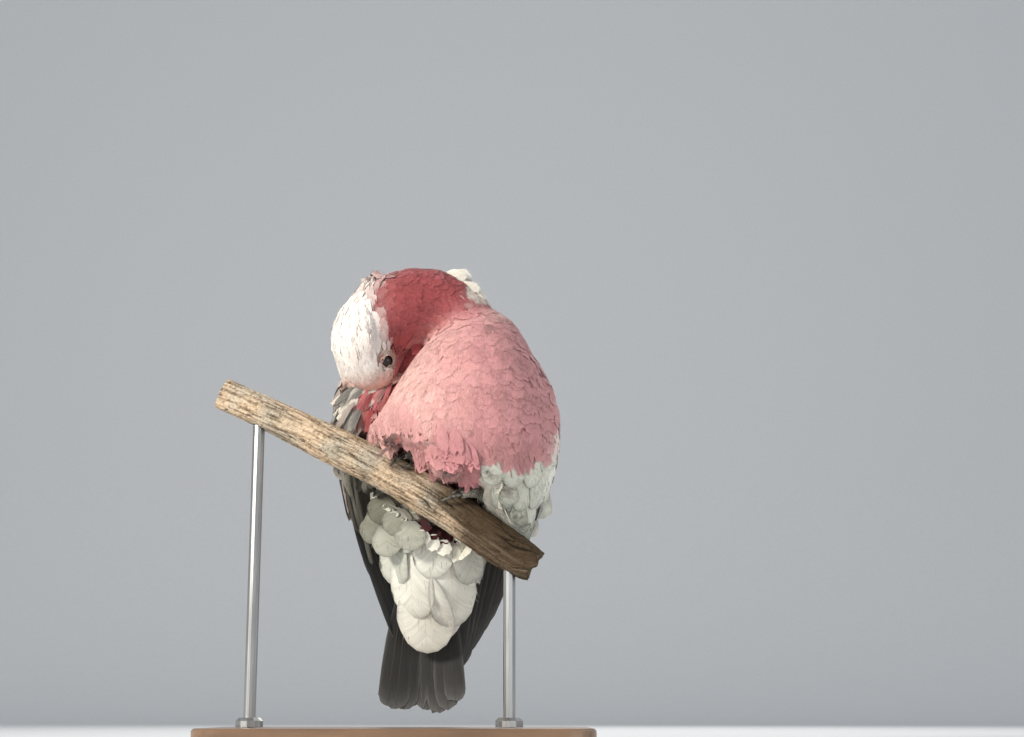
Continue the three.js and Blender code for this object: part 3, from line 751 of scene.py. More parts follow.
def trace(surface, start, way, length, rows):
    """Paths over a surface: points, normals and ways at each row. Past a sharp edge they go straight on."""
    n = len(start)
    steps = np.diff(rows_and_columns(rows, 3)[0])
    points, normals, ways = (np.empty((n, rows, 3)) for _ in range(3))
    points[:, 0], normals[:, 0] = surface.nearest(start)[:2]
    flat = way - normals[:, 0] * dot(way, normals[:, 0])[:, None]
    ways[:, 0] = unit(flat)
    for k in range(1, rows):
        q = points[:, k - 1] + ways[:, k - 1] * (length * steps[k - 1])[:, None]
        hit, nor = surface.nearest(q)[:2]
        nor = unit(nor + normals[:, k - 1])
        over = dot(nor, normals[:, k - 1]) < 0.8
        hit[over], nor[over] = q[over], normals[over, k - 1]
        points[:, k], normals[:, k] = hit, nor
        ahead = unit(hit - points[:, k - 1])
        ways[:, k] = unit(ahead - nor * dot(ahead, nor)[:, None])
    return points, normals, ways


def scatter(surface, count, wanted):
    """Random points on a surface, with a chance for each face: points, normals and faces."""
    corners = surface.points[surface.tris]
    cross = np.cross(corners[:, 1] - corners[:, 0], corners[:, 2] - corners[:, 0])
    area = np.linalg.norm(cross, axis=1) / 2
    share = area * wanted
    pick = RNG.choice(len(area), count, p=share / share.sum())
    a, b = RNG.random((2, count))
    fold = a + b > 1
    a[fold], b[fold] = 1 - a[fold], 1 - b[fold]
    c = corners[pick]
    points = c[:, 0] + (c[:, 1] - c[:, 0]) * a[:, None] + (c[:, 2] - c[:, 0]) * b[:, None]
    return points, surface.face_normals[pick], pick


def thinned(points, gaps):
    """Which points stay so that each has its own gap to the others."""
    tree = KDTree(len(points))
    for k, p in enumerate(points.tolist()):
        tree.insert(p, k)
    tree.balance()
    alive = np.ones(len(points), bool)
    for k, p in enumerate(points.tolist()):
        if alive[k]:
            for _, other, _ in tree.find_range(p, gaps[k]):
                if other > k:
                    alive[other] = False
    return alive


# ---------------------------------------------------------------- the body's coat
LOOK = {
    "round": 0.3, "fringe": 0.02, "comb": 0.015, "split": 0.06, "edge": 0.5, "root": 0.85, "thick": 0.1,
    "cup": 0.2, "bend": 0.1, "true": 0.25, "rim": 3,
}
# Each kind's slot, the colour and share of its tips, and what differs in LOOK. Then how ruffled it is, the
# gap between feathers, their length and width and their tips' lift in mm, the grid, the barbs to a feather,
# and the turn in degrees.
KINDS = {
    "face": dict(
        slot="pink_feather", tip=(ROSE, 0.3), look={"comb": 0.03},
        ruffle=0.35, gap=1.5, size=(5.6, 3.2), lift=0.3, grid=(4, 5), hair=4, turn=8,
    ),
    "cap": dict(
        slot="white_feather", tip=(WHITE, 0.3),
        look={"comb": 0.02, "round": 0.4, "root": 0.95, "edge": 0.3, "split": 0.03},
        ruffle=0.03, gap=2.7, size=(12.5, 6.5), lift=0.35, grid=(5, 7), hair=24, turn=7,
    ),
    "crest": dict(
        slot="white_feather", tip=(WHITE, 0.4), look={"round": 0.4, "root": 0.92, "true": 0.6},
        ruffle=0.6, gap=2.8, size=(21, 6.2), lift=0.9, grid=(5, 7), hair=7, turn=7,
    ),
    "neck": dict(
        slot="pink_feather", tip=(ROSE, 0.4),
        look={"comb": 0.03, "split": 0.1, "root": 1.0, "true": 0.1, "cup": 0.1, "bend": 0.05, "thick": 0.06},
        ruffle=0.08, gap=3.0, size=(14, 8.5), lift=0.7, grid=(5, 7), hair=80, turn=14,
    ),
    "breast": dict(
        slot="pink_feather", tip=(BLUSH, 0.3),
        look={
            "comb": 0.02, "split": 0.08, "root": 1.0, "edge": 0.25, "thick": 0.06, "true": 0.1, "cup": 0.1,
            "bend": 0.05,
        },
        ruffle=0.03, gap=4.3, size=(18.5, 12.5), lift=0.7, grid=(5, 7), hair=90, turn=10,
    ),
    "mantle": dict(
        slot="grey_feather", tip=(CREAM, 0.2), look={"split": 0.04},
        ruffle=0.2, gap=4.3, size=(17, 13.5), lift=0.6, grid=(5, 7), hair=8, turn=6,
    ),
    "thigh": dict(
        slot="pale_feather", tip=(STONE * 0.55, 0.3), look={"comb": 0.01, "split": 0.05, "edge": 0.6},
        ruffle=0.1, gap=5.2, size=(21, 16), lift=0.8, grid=(6, 7), hair=14, turn=8,
    ),
    # The undertail's dark tips: partly dark edges, partly painted shadow in the gaps between layered
    # feathers.
    "undertail": dict(
        slot="pale_feather", tip=(STONE * 0.5, 0.35), look={"round": 0.34, "split": 0.03, "edge": 0.6},
        ruffle=0.25, gap=4.6, size=(18, 13.5), lift=0.7, grid=(5, 7), hair=8, turn=7,
    ),
    "covert": dict(
        slot="grey_feather", tip=(CREAM, 0.25), look={"split": 0.03},
        ruffle=0.25, gap=4.1, size=(15, 11.5), lift=0.5, grid=(5, 7), hair=3, turn=5,
    ),
    "underwing": dict(
        slot="grey_feather", tip=(CREAM, 0.15), look={"split": 0.08},
        ruffle=0.35, gap=3.9, size=(14, 8.5), lift=0.7, grid=(5, 7), hair=5, turn=9,
    ),
}
KIND = {name: k for k, name in enumerate(KINDS)}


CAP_FROM = 4.6  # mm up the head
MANTLE_FROM = 24  # mm back, y
NECK_SEAM = 8  # mm back, y: the neck's front and back pieces
BREAST_SEAMS = (208, 244)  # mm high, z: its lower, middle and upper pieces
BETWEEN_WINGS = 25  # mm, x: the bird's right wing is below this
WING_BARE_BELOW = (186, 168)  # mm high, z: the right and the left wing
UNDERTAIL_BARE_BELOW = 165  # mm high, z


def kinds_at(p, n, w):
    """Which kind of feather grows at each point."""
    main = w.argmax(1)
    up = head_frame(p)[1]
    kind = np.full(len(p), KIND["breast"])
    kind[main == ZONE["head"]] = KIND["face"]
    kind[(main == ZONE["head"]) & (up > CAP_FROM)] = KIND["cap"]
    kind[main == ZONE["crest"]] = KIND["crest"]
    kind[main == ZONE["neck"]] = KIND["neck"]
    kind[(main == ZONE["trunk"]) & (p[:, 1] > MANTLE_FROM)] = KIND["mantle"]
    kind[(main == ZONE["thigh_left"]) | (main == ZONE["thigh_right"])] = KIND["thigh"]
    kind[main == ZONE["undertail_coverts"]] = KIND["undertail"]
    for name, out in OUTWARD.items():
        here = main == ZONE[name]
        kind[here] = np.where(dot(n, out)[here] > -0.05, KIND["covert"], KIND["underwing"])
    return kind


def tuned(key, index=None):
    """One setting of every kind, to be picked by kind."""
    values = [k[key] if index is None else k[key][index] for k in KINDS.values()]
    return np.array(values, float)


def inside(surface, p, room):
    """Which points are inside a closed surface or nearer to it than room."""
    hit, normal, far, _ = surface.nearest(p)
    return (dot(p - hit, normal) < 0) | (far < room)


NEAR_BOX, HARD_ROOM = 2, 0.4  # mm: how near a box is looked at, and the room left at a hard part


def clear_of_hard(points):
    """How much of each feather's length stays free of the branch, feet and bill."""
    n, rows = points.shape[:2]
    free = np.ones(n)
    reach = rows_and_columns(rows, 3)[0]
    for name, surface in HARD.items():
        low, high = box_mm(name)
        for k in range(rows - 1, 0, -1):
            q = points[:, k]
            near = ((q > low - NEAR_BOX) & (q < high + NEAR_BOX)).all(1)
            if near.any():
                index = np.flatnonzero(near)
                bad = index[inside(surface, q[index], HARD_ROOM)]
                free[bad] = np.minimum(free[bad], 0.4 * reach[k] + 0.6 * reach[k - 1])
    return free


def ruffle_at(p, kind):
    """0 where the coat is smooth, 1 where it is ruffled."""
    x, _, z = p.T
    rough = tuned("ruffle")[kind]
    low_right = ease(38, 82, x) * ease(240, 205, z)
    hem = ease(48, 60, x) * ease(215, 200, z) * ease(176, 190, z)
    shoulder = ease(58, 78, x) * ease(214, 236, z)
    breast = rough + 0.45 * low_right + 0.9 * hem + 0.22 * shoulder
    rough = np.where(kind == KIND["breast"], breast, rough)
    rough = np.where(kind == KIND["neck"], rough + 0.3 * ease(302, 314, z), rough)
    return rough + 0.18 * np.maximum(ripple(p, 0.07, 21.0), -0.5)


SCATTERED = 110000  # places tried, before they are thinned
FREE_SHARE = 0.3  # a feather with less room than this share of its length is left out
EYES = [middle("eye_left"), middle("eye_right")]
BARE_ROUND_EYE = 8.4


def bare_at(p, n, kind):
    """Where nothing grows: at eyes and hard parts, low on wings and undertail, in front under the branch."""
    bare = np.zeros(len(p), bool)
    for eye in EYES:
        bare |= np.linalg.norm(p - eye, axis=1) < BARE_ROUND_EYE
    for name, surface in HARD.items():
        low, high = box_mm(name)
        near = np.flatnonzero(((p > low - 1) & (p < high + 1)).all(1))
        if "eye" not in name:
            bare[near] |= surface.nearest(p[near])[2] < 0.8
    on_wing = (kind == KIND["covert"]) | (kind == KIND["underwing"])
    bare |= on_wing & (p[:, 2] < np.where(p[:, 0] < BETWEEN_WINGS, *WING_BARE_BELOW))
    bare |= (kind == KIND["undertail"]) & (p[:, 2] < UNDERTAIL_BARE_BELOW)
    bare |= (p[:, 1] < 30) & (p[:, 0] < 52) & (over_branch(p) < -4) & (n[:, 1] < 0)
    return bare


def sizes_at(p, kind):
    """Each feather's length and width: small round the eyes, larger low down."""
    from_eye = np.min([np.linalg.norm(p - eye, axis=1) for eye in EYES], 0)
    small = 0.5 + 0.5 * ease(7, 16, from_eye)
    small[kind > KIND["cap"]] = 1
    low = ease(230, 150, p[:, 2])
    grown = np.where(kind == KIND["breast"], 0.85 + 0.35 * low, 1) * small
    grown *= np.where(kind == KIND["covert"], 0.75 + 0.5 * low, 1)
    grown *= RNG.uniform(0.88, 1.12, len(p))
    return tuned("size", 0)[kind] * grown, tuned("size", 1)[kind] * grown


def grow_body():
    """The coat: places spread over the body by kind, then one piece or a few for each kind."""
    spread = tuned("gap")
    every = np.arange(len(BODY.tris))
    at_face = kinds_at(BODY.points[BODY.tris].mean(1), BODY.face_normals, zones_on(every))
    p, n, face = scatter(BODY, SCATTERED, 1 / spread[at_face] ** 2)
    w = zones_on(face)
    kind = kinds_at(p, n, w)
    gaps = spread[kind] * RNG.uniform(0.88, 1.1, len(p))
    keep = thinned(p, gaps) & ~bare_at(p, n, kind)
    p, n, w, kind = p[keep], n[keep], w[keep], kind[keep]

    length, width = sizes_at(p, kind)
    way = lie(p, n, w)
    turn = np.radians(RNG.normal(0, 1, len(p)) * tuned("turn")[kind] + 10 * ripple(p, 0.09, 5.0))
    way = way * np.cos(turn)[:, None] + np.cross(n, way) * np.sin(turn)[:, None]
    rough = 1 + 0.5 * ripple(p, 0.1, 1.0) + RNG.normal(0, 0.25, len(p))
    ruffle = ruffle_at(p, kind)
    depth = (w @ COAT_DEPTHS) * (0.16 + 0.84 * ruffle)
    lift = tuned("lift")[kind] * np.clip(rough, 0.3, 2.2) * (0.2 + 1.3 * ruffle)
    lift += RNG.normal(0, 0.05, len(p))
    seeds = RNG.uniform(0, 90, len(p))
    feathers = {
        "p": p, "way": way, "length": length, "width": width, "depth": depth, "lift": lift, "ruffle": ruffle,
        "seeds": seeds,
    }
    for name in KINDS:
        for part, chosen in parts_of(name, p, kind == KIND[name]):
            if chosen.any():  # all of the undertail's places are bare, where its plumes lie
                grow_part(part, name, {key: values[chosen] for key, values in feathers.items()})


def grow_part(part, name, f):
    """One piece of the coat, of one kind; f holds its feathers' places, ways, sizes and seeds."""
    spec = KINDS[name]
    rows = spec["grid"][0]
    path, normal, _ = trace(BODY, f["p"], f["way"], f["length"], rows)
    free = clear_of_hard(path + normal * f["lift"][:, None, None])
    kept = free > FREE_SHARE
    f = {key: values[kept] for key, values in f.items()}
    size = f["length"] * free[kept]
    path, normal, heading = trace(BODY, f["p"], f["way"], size, rows)
    base = plumage(path[:, -2], normal[:, -2], zones_on(BODY.nearest(path[:, -2])[3]))
    base = base * (1 + RNG.normal(0, 0.03, len(size)))[:, None]
    tip = blend(base, *spec["tip"])
    look = {**LOOK, **spec["look"]}
    look["drop"] = fall_at_sides(path, normal, heading, f["width"] / 2)
    look["roll"] = RNG.normal(0, 0.06, len(size)) * f["ruffle"]
    coat = Coat(part, spec["slot"], COAT_MATERIAL[name])
    shape = vanes(
        coat, path, normal, heading, size, f["width"], f["depth"], f["lift"], base, tip, spec["grid"],
        f["seeds"], look,
    )
    add_hair(coat, shape, path, normal, heading, size, base, tip, f["seeds"], spec["hair"])
    coat.make()


def fall_at_sides(path, normal, heading, half):
    """How far the sides of feathers drop to follow the body under them."""
    mid = path.shape[1] // 2
    across = np.cross(normal[:, mid], heading[:, mid])
    drop = np.zeros(len(half))
    for sign in (-1, 1):
        q = path[:, mid] + across * (half * sign)[:, None]
        drop += dot(q - BODY.nearest(q)[0], normal[:, mid]) / 2
    return np.clip(drop, 0, 0.5 * half) + 0.08 * half


def parts_of(name, p, chosen):
    """The pieces that a kind is parted into."""
    if name == "breast":
        high, low = p[:, 2] > BREAST_SEAMS[1], p[:, 2] < BREAST_SEAMS[0]
        return [
            ("breast_upper", chosen & high),
            ("breast_middle", chosen & ~high & ~low),
            ("breast_lower", chosen & low),
        ]
    if name == "neck":
        front = p[:, 1] < NECK_SEAM
        return [("neck_front", chosen & front), ("neck_back", chosen & ~front)]
    if name in ("covert", "underwing"):
        right = p[:, 0] < BETWEEN_WINGS
        return [(name + "s_left", chosen & ~right), (name + "s_right", chosen & right)]
    return [(name + "_feathers", chosen)]


def add_hair(coat, shape, path, normal, heading, size, base, tip, seeds, share):
    """Wisps that leave a feather's outer half and reach past its tip."""
    n, rows, columns = shape.shape[:3]
    count = n * share
    pick = RNG.integers(0, n, count)
    c = RNG.uniform(-0.9, 0.9, count)
    t = RNG.uniform(0.3, 0.82, count)
    row = t * (rows - 1)
    column = (c + 1) / 2 * (columns - 1)
    r0, c0 = row.astype(int), column.astype(int)
    r0, c0 = np.minimum(r0, rows - 2), np.minimum(c0, columns - 2)
    fr, fc = (row - r0)[:, None], (column - c0)[:, None]
    low = shape[pick, r0, c0] * (1 - fc) + shape[pick, r0, c0 + 1] * fc
    high = shape[pick, r0 + 1, c0] * (1 - fc) + shape[pick, r0 + 1, c0 + 1] * fc
    start = low * (1 - fr) + high * fr
    nor, way = normal[pick, r0 + 1], heading[pick, r0 + 1]
    side = np.cross(nor, way)
    aside = (c * 0.3 + RNG.normal(0, 0.1, count))[:, None]
    outward = RNG.uniform(-0.02, 0.07, count)[:, None]
    way = unit(way + side * aside + nor * outward)
    reach = size[pick] * RNG.uniform(0.14, 0.4, count) * (1.15 - 0.5 * t)
    thin = np.clip(size[pick] * 0.012, 0.08, 0.2)
    colour = blend(base[pick], tip[pick], RNG.uniform(0, 1, count))
    colour = colour * (1 + RNG.normal(0, 0.07, count))[:, None]
    wisps(coat, start + nor * 0.03, way, nor, reach, thin, colour, path[pick, 0], seeds[pick])


# ---------------------------------------------------------------- wings and tail
class Ribbon:
    """Both faces of thin solids that hang down, by height (s, from the top) and across (t, from in front)."""

    def __init__(self, names, first, outward, above=1.0, levels=30, across=13):
        corners = np.concatenate([corners_of(name) for name in names])
        top, foot = corners[..., 2].max() - 1, corners[..., 2].min() + above
        self.t = np.linspace(0.02, 0.98, across)
        rows, lead_was = [], None
        for z in np.linspace(top, foot, levels):
            row, lead_was = self.level(corners, z, first, outward, lead_was)
            rows.append(row if row is not None else rows[-1])
        grid = np.array(rows)
        for _ in range(2):
            grid[1:-1] = grid[1:-1] * 0.5 + (grid[:-2] + grid[2:]) * 0.25
        self.grid = grid  # levels, across, face (inner, outer), xyz

    def level(self, corners, z, first, outward, lead_was):
        """One level's row of points on both faces, and its front edge; no row where the solids end."""
        a, b = corners, corners[:, [1, 2, 0]]
        cut = (a[..., 2] - z) * (b[..., 2] - z) < 0
        hit = cut.sum(1) == 2
        a, b, cut = a[hit], b[hit], cut[hit]
        share = (z - a[..., 2]) / np.where(cut, b[..., 2] - a[..., 2], 1)
        ends = (a + (b - a) * share[..., None])[cut].reshape(-1, 2, 3)[..., :2]
        if len(ends) < 3:
            return None, lead_was
        flat = ends.reshape(-1, 2)
        gap = np.linalg.norm(flat[:, None] - flat[None], axis=2)
        i, j = np.unravel_index(gap.argmax(), gap.shape)
        lead, trail = flat[i], flat[j]
        if lead_was is None:
            swap = np.dot(lead - trail, first) > 0
        else:
            swap = np.linalg.norm(lead - lead_was) > np.linalg.norm(trail - lead_was)
        if swap:
            lead, trail = trail, lead
        length = np.linalg.norm(trail - lead)
        e = (trail - lead) / length
        o = np.array((-e[1], e[0]))
        if np.dot(o, outward((lead + trail) / 2)) < 0:
            o = -o
        x, h = (ends - lead) @ e, (ends - lead) @ o
        row = []
        for t in self.t:
            d = x - t * length
            over = d[:, 0] * d[:, 1] <= 0
            f = d[over, 0] / np.where(np.abs(d[over, 0] - d[over, 1]) < 1e-9, 1, d[over, 0] - d[over, 1])
            at = h[over, 0] + (h[over, 1] - h[over, 0]) * f
            base = lead + e * t * length
            faces = [base + o * k for k in ((at.min(), at.max()) if len(at) else (0, 0))]
            row.append([(*q, z) for q in faces])
        return np.array(row), lead

    def at(self, s, t, face):
        """Points at s and t, between the inner (-1) and outer (1) face."""
        levels, across = self.grid.shape[:2]
        r = np.clip(s, -0.1, 1.3) * (levels - 1)
        c = np.clip((t - self.t[0]) / (self.t[-1] - self.t[0]), 0, 1) * (across - 1)
        r0 = np.clip(r.astype(int), 0, levels - 2)
        c0 = np.minimum(c.astype(int), across - 2)
        fr, fc = (r - r0)[..., None, None], (c - c0)[..., None, None]
        g = self.grid
        low = g[r0, c0] * (1 - fc) + g[r0, c0 + 1] * fc
        high = g[r0 + 1, c0] * (1 - fc) + g[r0 + 1, c0 + 1] * fc
        both = low * (1 - fr) + high * fr
        share = ((np.asarray(face) + 1) / 2)[..., None]
        return both[..., 0, :] * (1 - share) + both[..., 1, :] * share

    def outward_at(self, s, t):
        """The way out of the outer face."""
        step = 0.02
        down = self.at(s + step, t, 0 * s) - self.at(s - step, t, 0 * s)
        along = self.at(s, t + step, 0 * s) - self.at(s, t - step, 0 * s)
        n = unit(np.cross(down, along))
        away = self.at(s, t, 0 * s + 1) - self.at(s, t, 0 * s - 1)
        sign = np.where(dot(n, away).mean() < 0, -1.0, 1.0)
        return n * sign


SHAFT_RADIUS = 0.5  # mm, at the root
QUILLED = {"round": 0.12, "fringe": 0.006, "comb": 0.0, "split": 0.02, "root": 0.85, "thick": 0.35, "rim": 6}


def plumes(coat, ribbon, rows):
    """Large feathers on a ribbon: each row has starts and ends (s, t, face), widths and colours."""
    for row in rows:
        count = row["count"]
        k = np.linspace(0, 1, count)
        jitter = RNG.normal(0, 0.006, count)
        s0 = np.interp(k, (0, 1), row["from_s"])
        s1 = np.interp(k, np.linspace(0, 1, len(row["to_s"])), row["to_s"]) + jitter
        t0 = np.interp(k, (0, 1), row["from_t"])
        t1 = np.interp(k, (0, 1), row["to_t"])
        f = rows_and_columns(10, 3)[0][None]
        s, t = s0[:, None] + (s1 - s0)[:, None] * f, t0[:, None] + (t1 - t0)[:, None] * f**1.15
        face = np.interp(f, (0, 1), row["face"]) + 0 * s
        path = ribbon.at(s, t, face)
        normal = ribbon.outward_at(s, t)
        path = path + normal * (row["stack"] * (k - 0.5))[:, None, None]
        if row["face"][0] < 0:
            normal = -normal
        way = unit(np.gradient(path, axis=1))
        normal = unit(normal - way * dot(normal, way)[..., None])
        length = np.linalg.norm(path[:, -1] - path[:, 0], axis=1)
        width = np.interp(k, (0, 1), row["width"]) * RNG.uniform(0.95, 1.05, count)
        light = (1 + RNG.normal(0, 0.05, count))[:, None]
        base = np.tile(row["colour"], (count, 1)) * light
        tip = np.tile(row["edge"], (count, 1)) * light
        look = {**LOOK, **QUILLED, "edge": 0.8}
        look["drop"] = width * 0.05
        look["roll"] = np.full(count, row.get("roll", 0.07))
        seeds = RNG.uniform(0, 90, count)
        zero = np.zeros(count)
        vanes(coat, path, normal, way, length, width, zero, zero, base, tip, (10, 9), seeds, look)
        shafts(coat, path, normal, way, SHAFT_RADIUS, base * 0.55, seeds)


def shafts(coat, path, normal, way, radius, colour, seeds):
    """A raised shaft down the middle of each large feather, on both its faces."""
    n, rows = path.shape[:2]
    side = np.cross(normal, way)
    taper = np.linspace(1, 0.25, rows)[None, :, None] * radius
    ring = [side * taper, normal * taper * 0.8, -side * taper, -normal * taper * 0.8]
    points = np.stack([path + r for r in ring], 2)
    grid = np.arange(rows * 4).reshape(rows, 4)
    near, far = grid[:-1], grid[1:]
    sides = np.stack([near, np.roll(near, -1, 1), np.roll(far, -1, 1), far], -1).reshape(-1, 4)
    caps = np.array([grid[0][::-1], grid[-1]])
    t = np.linspace(0, 1, rows)
    place = np.zeros((n, rows, 4, 3))
    place[..., 1], place[..., 2] = t[None, :, None], seeds[:, None, None]
    patch = np.stack(np.broadcast_arrays(np.full((rows, 4), 0.5), t[:, None]), -1)[None].repeat(n, 0)
    tints = np.repeat(colour[:, None], rows * 4, 1)
    round_it = np.stack(ring, 2).reshape(n, -1, 3)
    coat.put(
        points.reshape(n, -1, 3), round_it, np.clip(tints, 0, 1), place.reshape(n, -1, 3),
        path[:, 0], patch.reshape(n, -1, 2), [np.concatenate([sides, caps])],
    )


def wing_rows():
    """Rows from the tip up, each over the one before; the last two line the wing's inner face."""
    dark, grey, pale = blend(SLATE, COAL, 0.35), blend(ASH, SLATE, 0.45), blend(ASH, CREAM, 0.12)
    rim = blend(ASH, CREAM, 0.35)
    return [
        dict(
            count=9, from_s=(0.42, 0.5), to_s=(1.0, 0.97, 0.9, 0.8), from_t=(0.12, 0.62), to_t=(0.2, 0.85),
            face=(0, 0), width=(12, 14), colour=dark, edge=grey, stack=1.6,
        ),
        dict(
            count=9, from_s=(0.38, 0.42), to_s=(0.72, 0.7, 0.74), from_t=(0.15, 0.8), to_t=(0.16, 0.92),
            face=(0.1, 0.7), width=(14, 14), colour=grey, edge=rim, stack=1.6,
        ),
        dict(
            count=9, from_s=(0.32, 0.34), to_s=(0.57, 0.56), from_t=(0.08, 0.88), to_t=(0.08, 0.93),
            face=(0.5, 0.95), width=(13, 13), colour=blend(grey, pale, 0.5), edge=rim, stack=0.8,
        ),
        dict(
            count=10, from_s=(0.24, 0.26), to_s=(0.45, 0.44), from_t=(0.06, 0.9), to_t=(0.06, 0.94),
            face=(0.7, 1.05), width=(12, 12), colour=pale, edge=rim, stack=0.5,
        ),
        dict(
            count=8, from_s=(0.36, 0.38), to_s=(0.6, 0.58), from_t=(0.1, 0.85), to_t=(0.1, 0.9),
            face=(-0.4, -0.95), width=(13, 13),
            colour=blend(DOWN, SLATE, 0.5), edge=blend(DOWN, CREAM, 0.2), stack=0.6, roll=-0.07,
        ),
        dict(
            count=9, from_s=(0.28, 0.3), to_s=(0.48, 0.47), from_t=(0.08, 0.88), to_t=(0.08, 0.92),
            face=(-0.5, -1.05), width=(11, 11),
            colour=blend(DOWN, SLATE, 0.25), edge=blend(DOWN, CREAM, 0.3), stack=0.5, roll=-0.07,
        ),
    ]


def make_wings():
    hub = (TRUNK_LOW[:2] + TRUNK_HIGH[:2]) / 2 - (15, 0)
    for side in ("left", "right"):
        names = [f"wing_{side}_arm", f"wing_{side}_flight"]
        ribbon = Ribbon(names, (0, 1), lambda mid: mid - hub)
        coat = Coat(f"wing_{side}_feathers", "dark_feather", COAT_MATERIAL["flight"])
        plumes(coat, ribbon, wing_rows())
        coat.make(f"wing_{side}_flight")


def front_path(surface, x, z):
    """Points on a surface's front at x and z (n, rows), and the normals there."""
    n, rows = x.shape
    points, normals = np.empty((n, rows, 3)), np.empty((n, rows, 3))
    for i in range(n):
        met, found = [], []
        for k in range(rows):
            hit, _, index, _ = surface.tree.ray_cast(Vector((x[i, k], -300, z[i, k])), Vector((0, 1, 0)))
            if hit is not None:
                met.append(k)
                found.append((hit.y, *surface.face_normals[index]))
        if not met:
            met, found = [0], [(0.0, 0.0, -1.0, 0.0)]
        found = np.array(found)
        y, nx, ny, nz = (np.interp(range(rows), met, found[:, j]) for j in range(4))
        points[i] = np.stack([x[i], y, z[i]], 1)
        normals[i] = np.stack([nx, ny, nz], 1)
    for _ in range(3):
        normals[:, 1:-1] = (normals[:, :-2] + normals[:, 1:-1] * 2 + normals[:, 2:]) / 4
        points[:, 1:-1, 1] = (points[:, :-2, 1] + points[:, 1:-1, 1] * 2 + points[:, 2:, 1]) / 4
    return points, unit(normals)


def box_place(node, u, v):
    """x and z at shares of a node's box, from its left and from its top."""
    low, high = box_mm(node)
    return low[0] + (high[0] - low[0]) * np.asarray(u), high[2] - (high[2] - low[2]) * np.asarray(v)


LAID_FREE_SHARE = 0.4  # a laid feather with less room than this share of its length is left out


def lay(
    coat, surface, start, end, width, base, tip, rise, look, hair=0, bow=0.0, quill=0.2, shaft=0.8,
    form=(10, 9), even=0.0,
):
    """Feathers on the front of a surface from start (x, z) to end; the later ones lie over the earlier.

    Without a base they take the plumage's own colour. even is the share of a level path, in front of the
    surface, for places where the surface is creased."""
    n = len(width)
    rise, bow = np.broadcast_to(rise, n), np.broadcast_to(np.reshape(bow, (-1, 1)), (n, 1))
    f = rows_and_columns(form[0], 3)[0][None]
    arc = np.sin(f * math.pi) * bow
    free = np.ones((n, 1))
    for _ in range(2):
        reach = f * free
        x = start[0][:, None] * (1 - reach) + end[0][:, None] * reach + arc * free
        z = start[1][:, None] * (1 - reach) + end[1][:, None] * reach
        path, normal = front_path(surface, x, z)
        level = path[..., 1].min(1, keepdims=True) + 0 * x
        path[..., 1] += (level - path[..., 1]) * even * ease(0.0, 0.5, f)
        normal = unit(normal * (1 - even) + np.array((0.0, -even, 0.0)))
        path = path + normal * (rise[:, None] * (0.15 + 0.85 * f))[..., None]
        room = clear_of_hard(path)[:, None]
        kept, free = free[:, 0] * room[:, 0] > LAID_FREE_SHARE, free * room
    path, normal = path[kept], normal[kept]
    width, n = np.asarray(width, float)[kept], kept.sum()
    if base is None:
        base = plumage(path[:, 2], normal[:, 2], zones_on(BODY.nearest(path[:, 2])[3]))
        base = base * (0.9 + RNG.normal(0, 0.04, (n, 1)))
        tip = blend(base, tip, 0.35)
    else:
        base, tip = base[kept], tip[kept]
    way = unit(np.gradient(path, axis=1))
    normal = unit(normal - way * dot(normal, way)[..., None])
    length = np.linalg.norm(path[:, -1] - path[:, 0], axis=1)
    look = {**LOOK, **QUILLED, **look}
    look["round"] = look["round"] * width / length
    look["drop"] = width * 0.05
    look["roll"] = RNG.normal(0, 0.03, n)
    seeds, zero = RNG.uniform(0, 90, n), np.zeros(n)
    shape = vanes(coat, path, normal, way, length, width, zero, zero, base, tip, form, seeds, look)
    if quill:
        shafts(coat, path, normal, way, quill, base * shaft, seeds)
    if hair:
        add_hair(coat, shape, path, normal, way, length * 0.5, base, tip, seeds, hair)


TAIL_TIPS = (  # share across and down the tail's box, and width, from the middle pair out to each side
    (0.35, 0.965, 19), (0.29, 0.985, 18), (0.2, 0.98, 17), (0.11, 0.955, 15),
    (0.53, 0.985, 20), (0.58, 1.01, 19), (0.66, 1.0, 19), (0.75, 0.975, 18), (0.83, 0.93, 16),
)


def make_tail():
    """From below the outer feathers lie over the inner ones, in a left and a right half."""
    coat = Coat("tail_feathers", "dark_feather", COAT_MATERIAL["flight"])
    base, edge = blend(SLATE, COAL, 0.85) * 0.62, blend(SLATE, ASH, 0.2)
    tips = np.array(TAIL_TIPS)
    n = len(tips)
    end = box_place("tail", tips[:, 0], tips[:, 1])
    start = box_place("tail", 0.5 + (tips[:, 0] - 0.5) * 0.45, np.full(n, 0.06))
    pair_left = 4
    rank = np.array([k if k < pair_left else k - pair_left for k in range(n)])
    tone = base * (1 + RNG.normal(0, 0.05, (n, 1)))
    surface = surface_of(NODES["tail"].data)
    lay(
        coat, surface, start, end, tips[:, 2], tone, np.tile(edge, (n, 1)), 0.4 + 0.9 * rank,
        {"round": 0.5, "edge": 0.75, "rim": 14, "cup": 0.3}, bow=(tips[:, 0] - 0.5) * 3, quill=0.5, shaft=1.5,
    )
    coat.make("tail")


UNDER_PLUMES = (  # root and tip as shares across and down the box of the undertail coverts, and width
    (0.42, 0.38, 0.46, 1.0, 40), (0.66, 0.2, 0.74, 0.78, 34), (0.3, 0.12, 0.34, 0.72, 32),
    (0.14, 0.0, 0.16, 0.46, 26), (0.52, -0.05, 0.53, 0.42, 28), (0.8, -0.02, 0.88, 0.44, 26),
    (0.28, -0.2, 0.27, 0.22, 22), (0.72, -0.2, 0.75, 0.2, 22), (0.08, -0.25, 0.07, 0.12, 18),
)


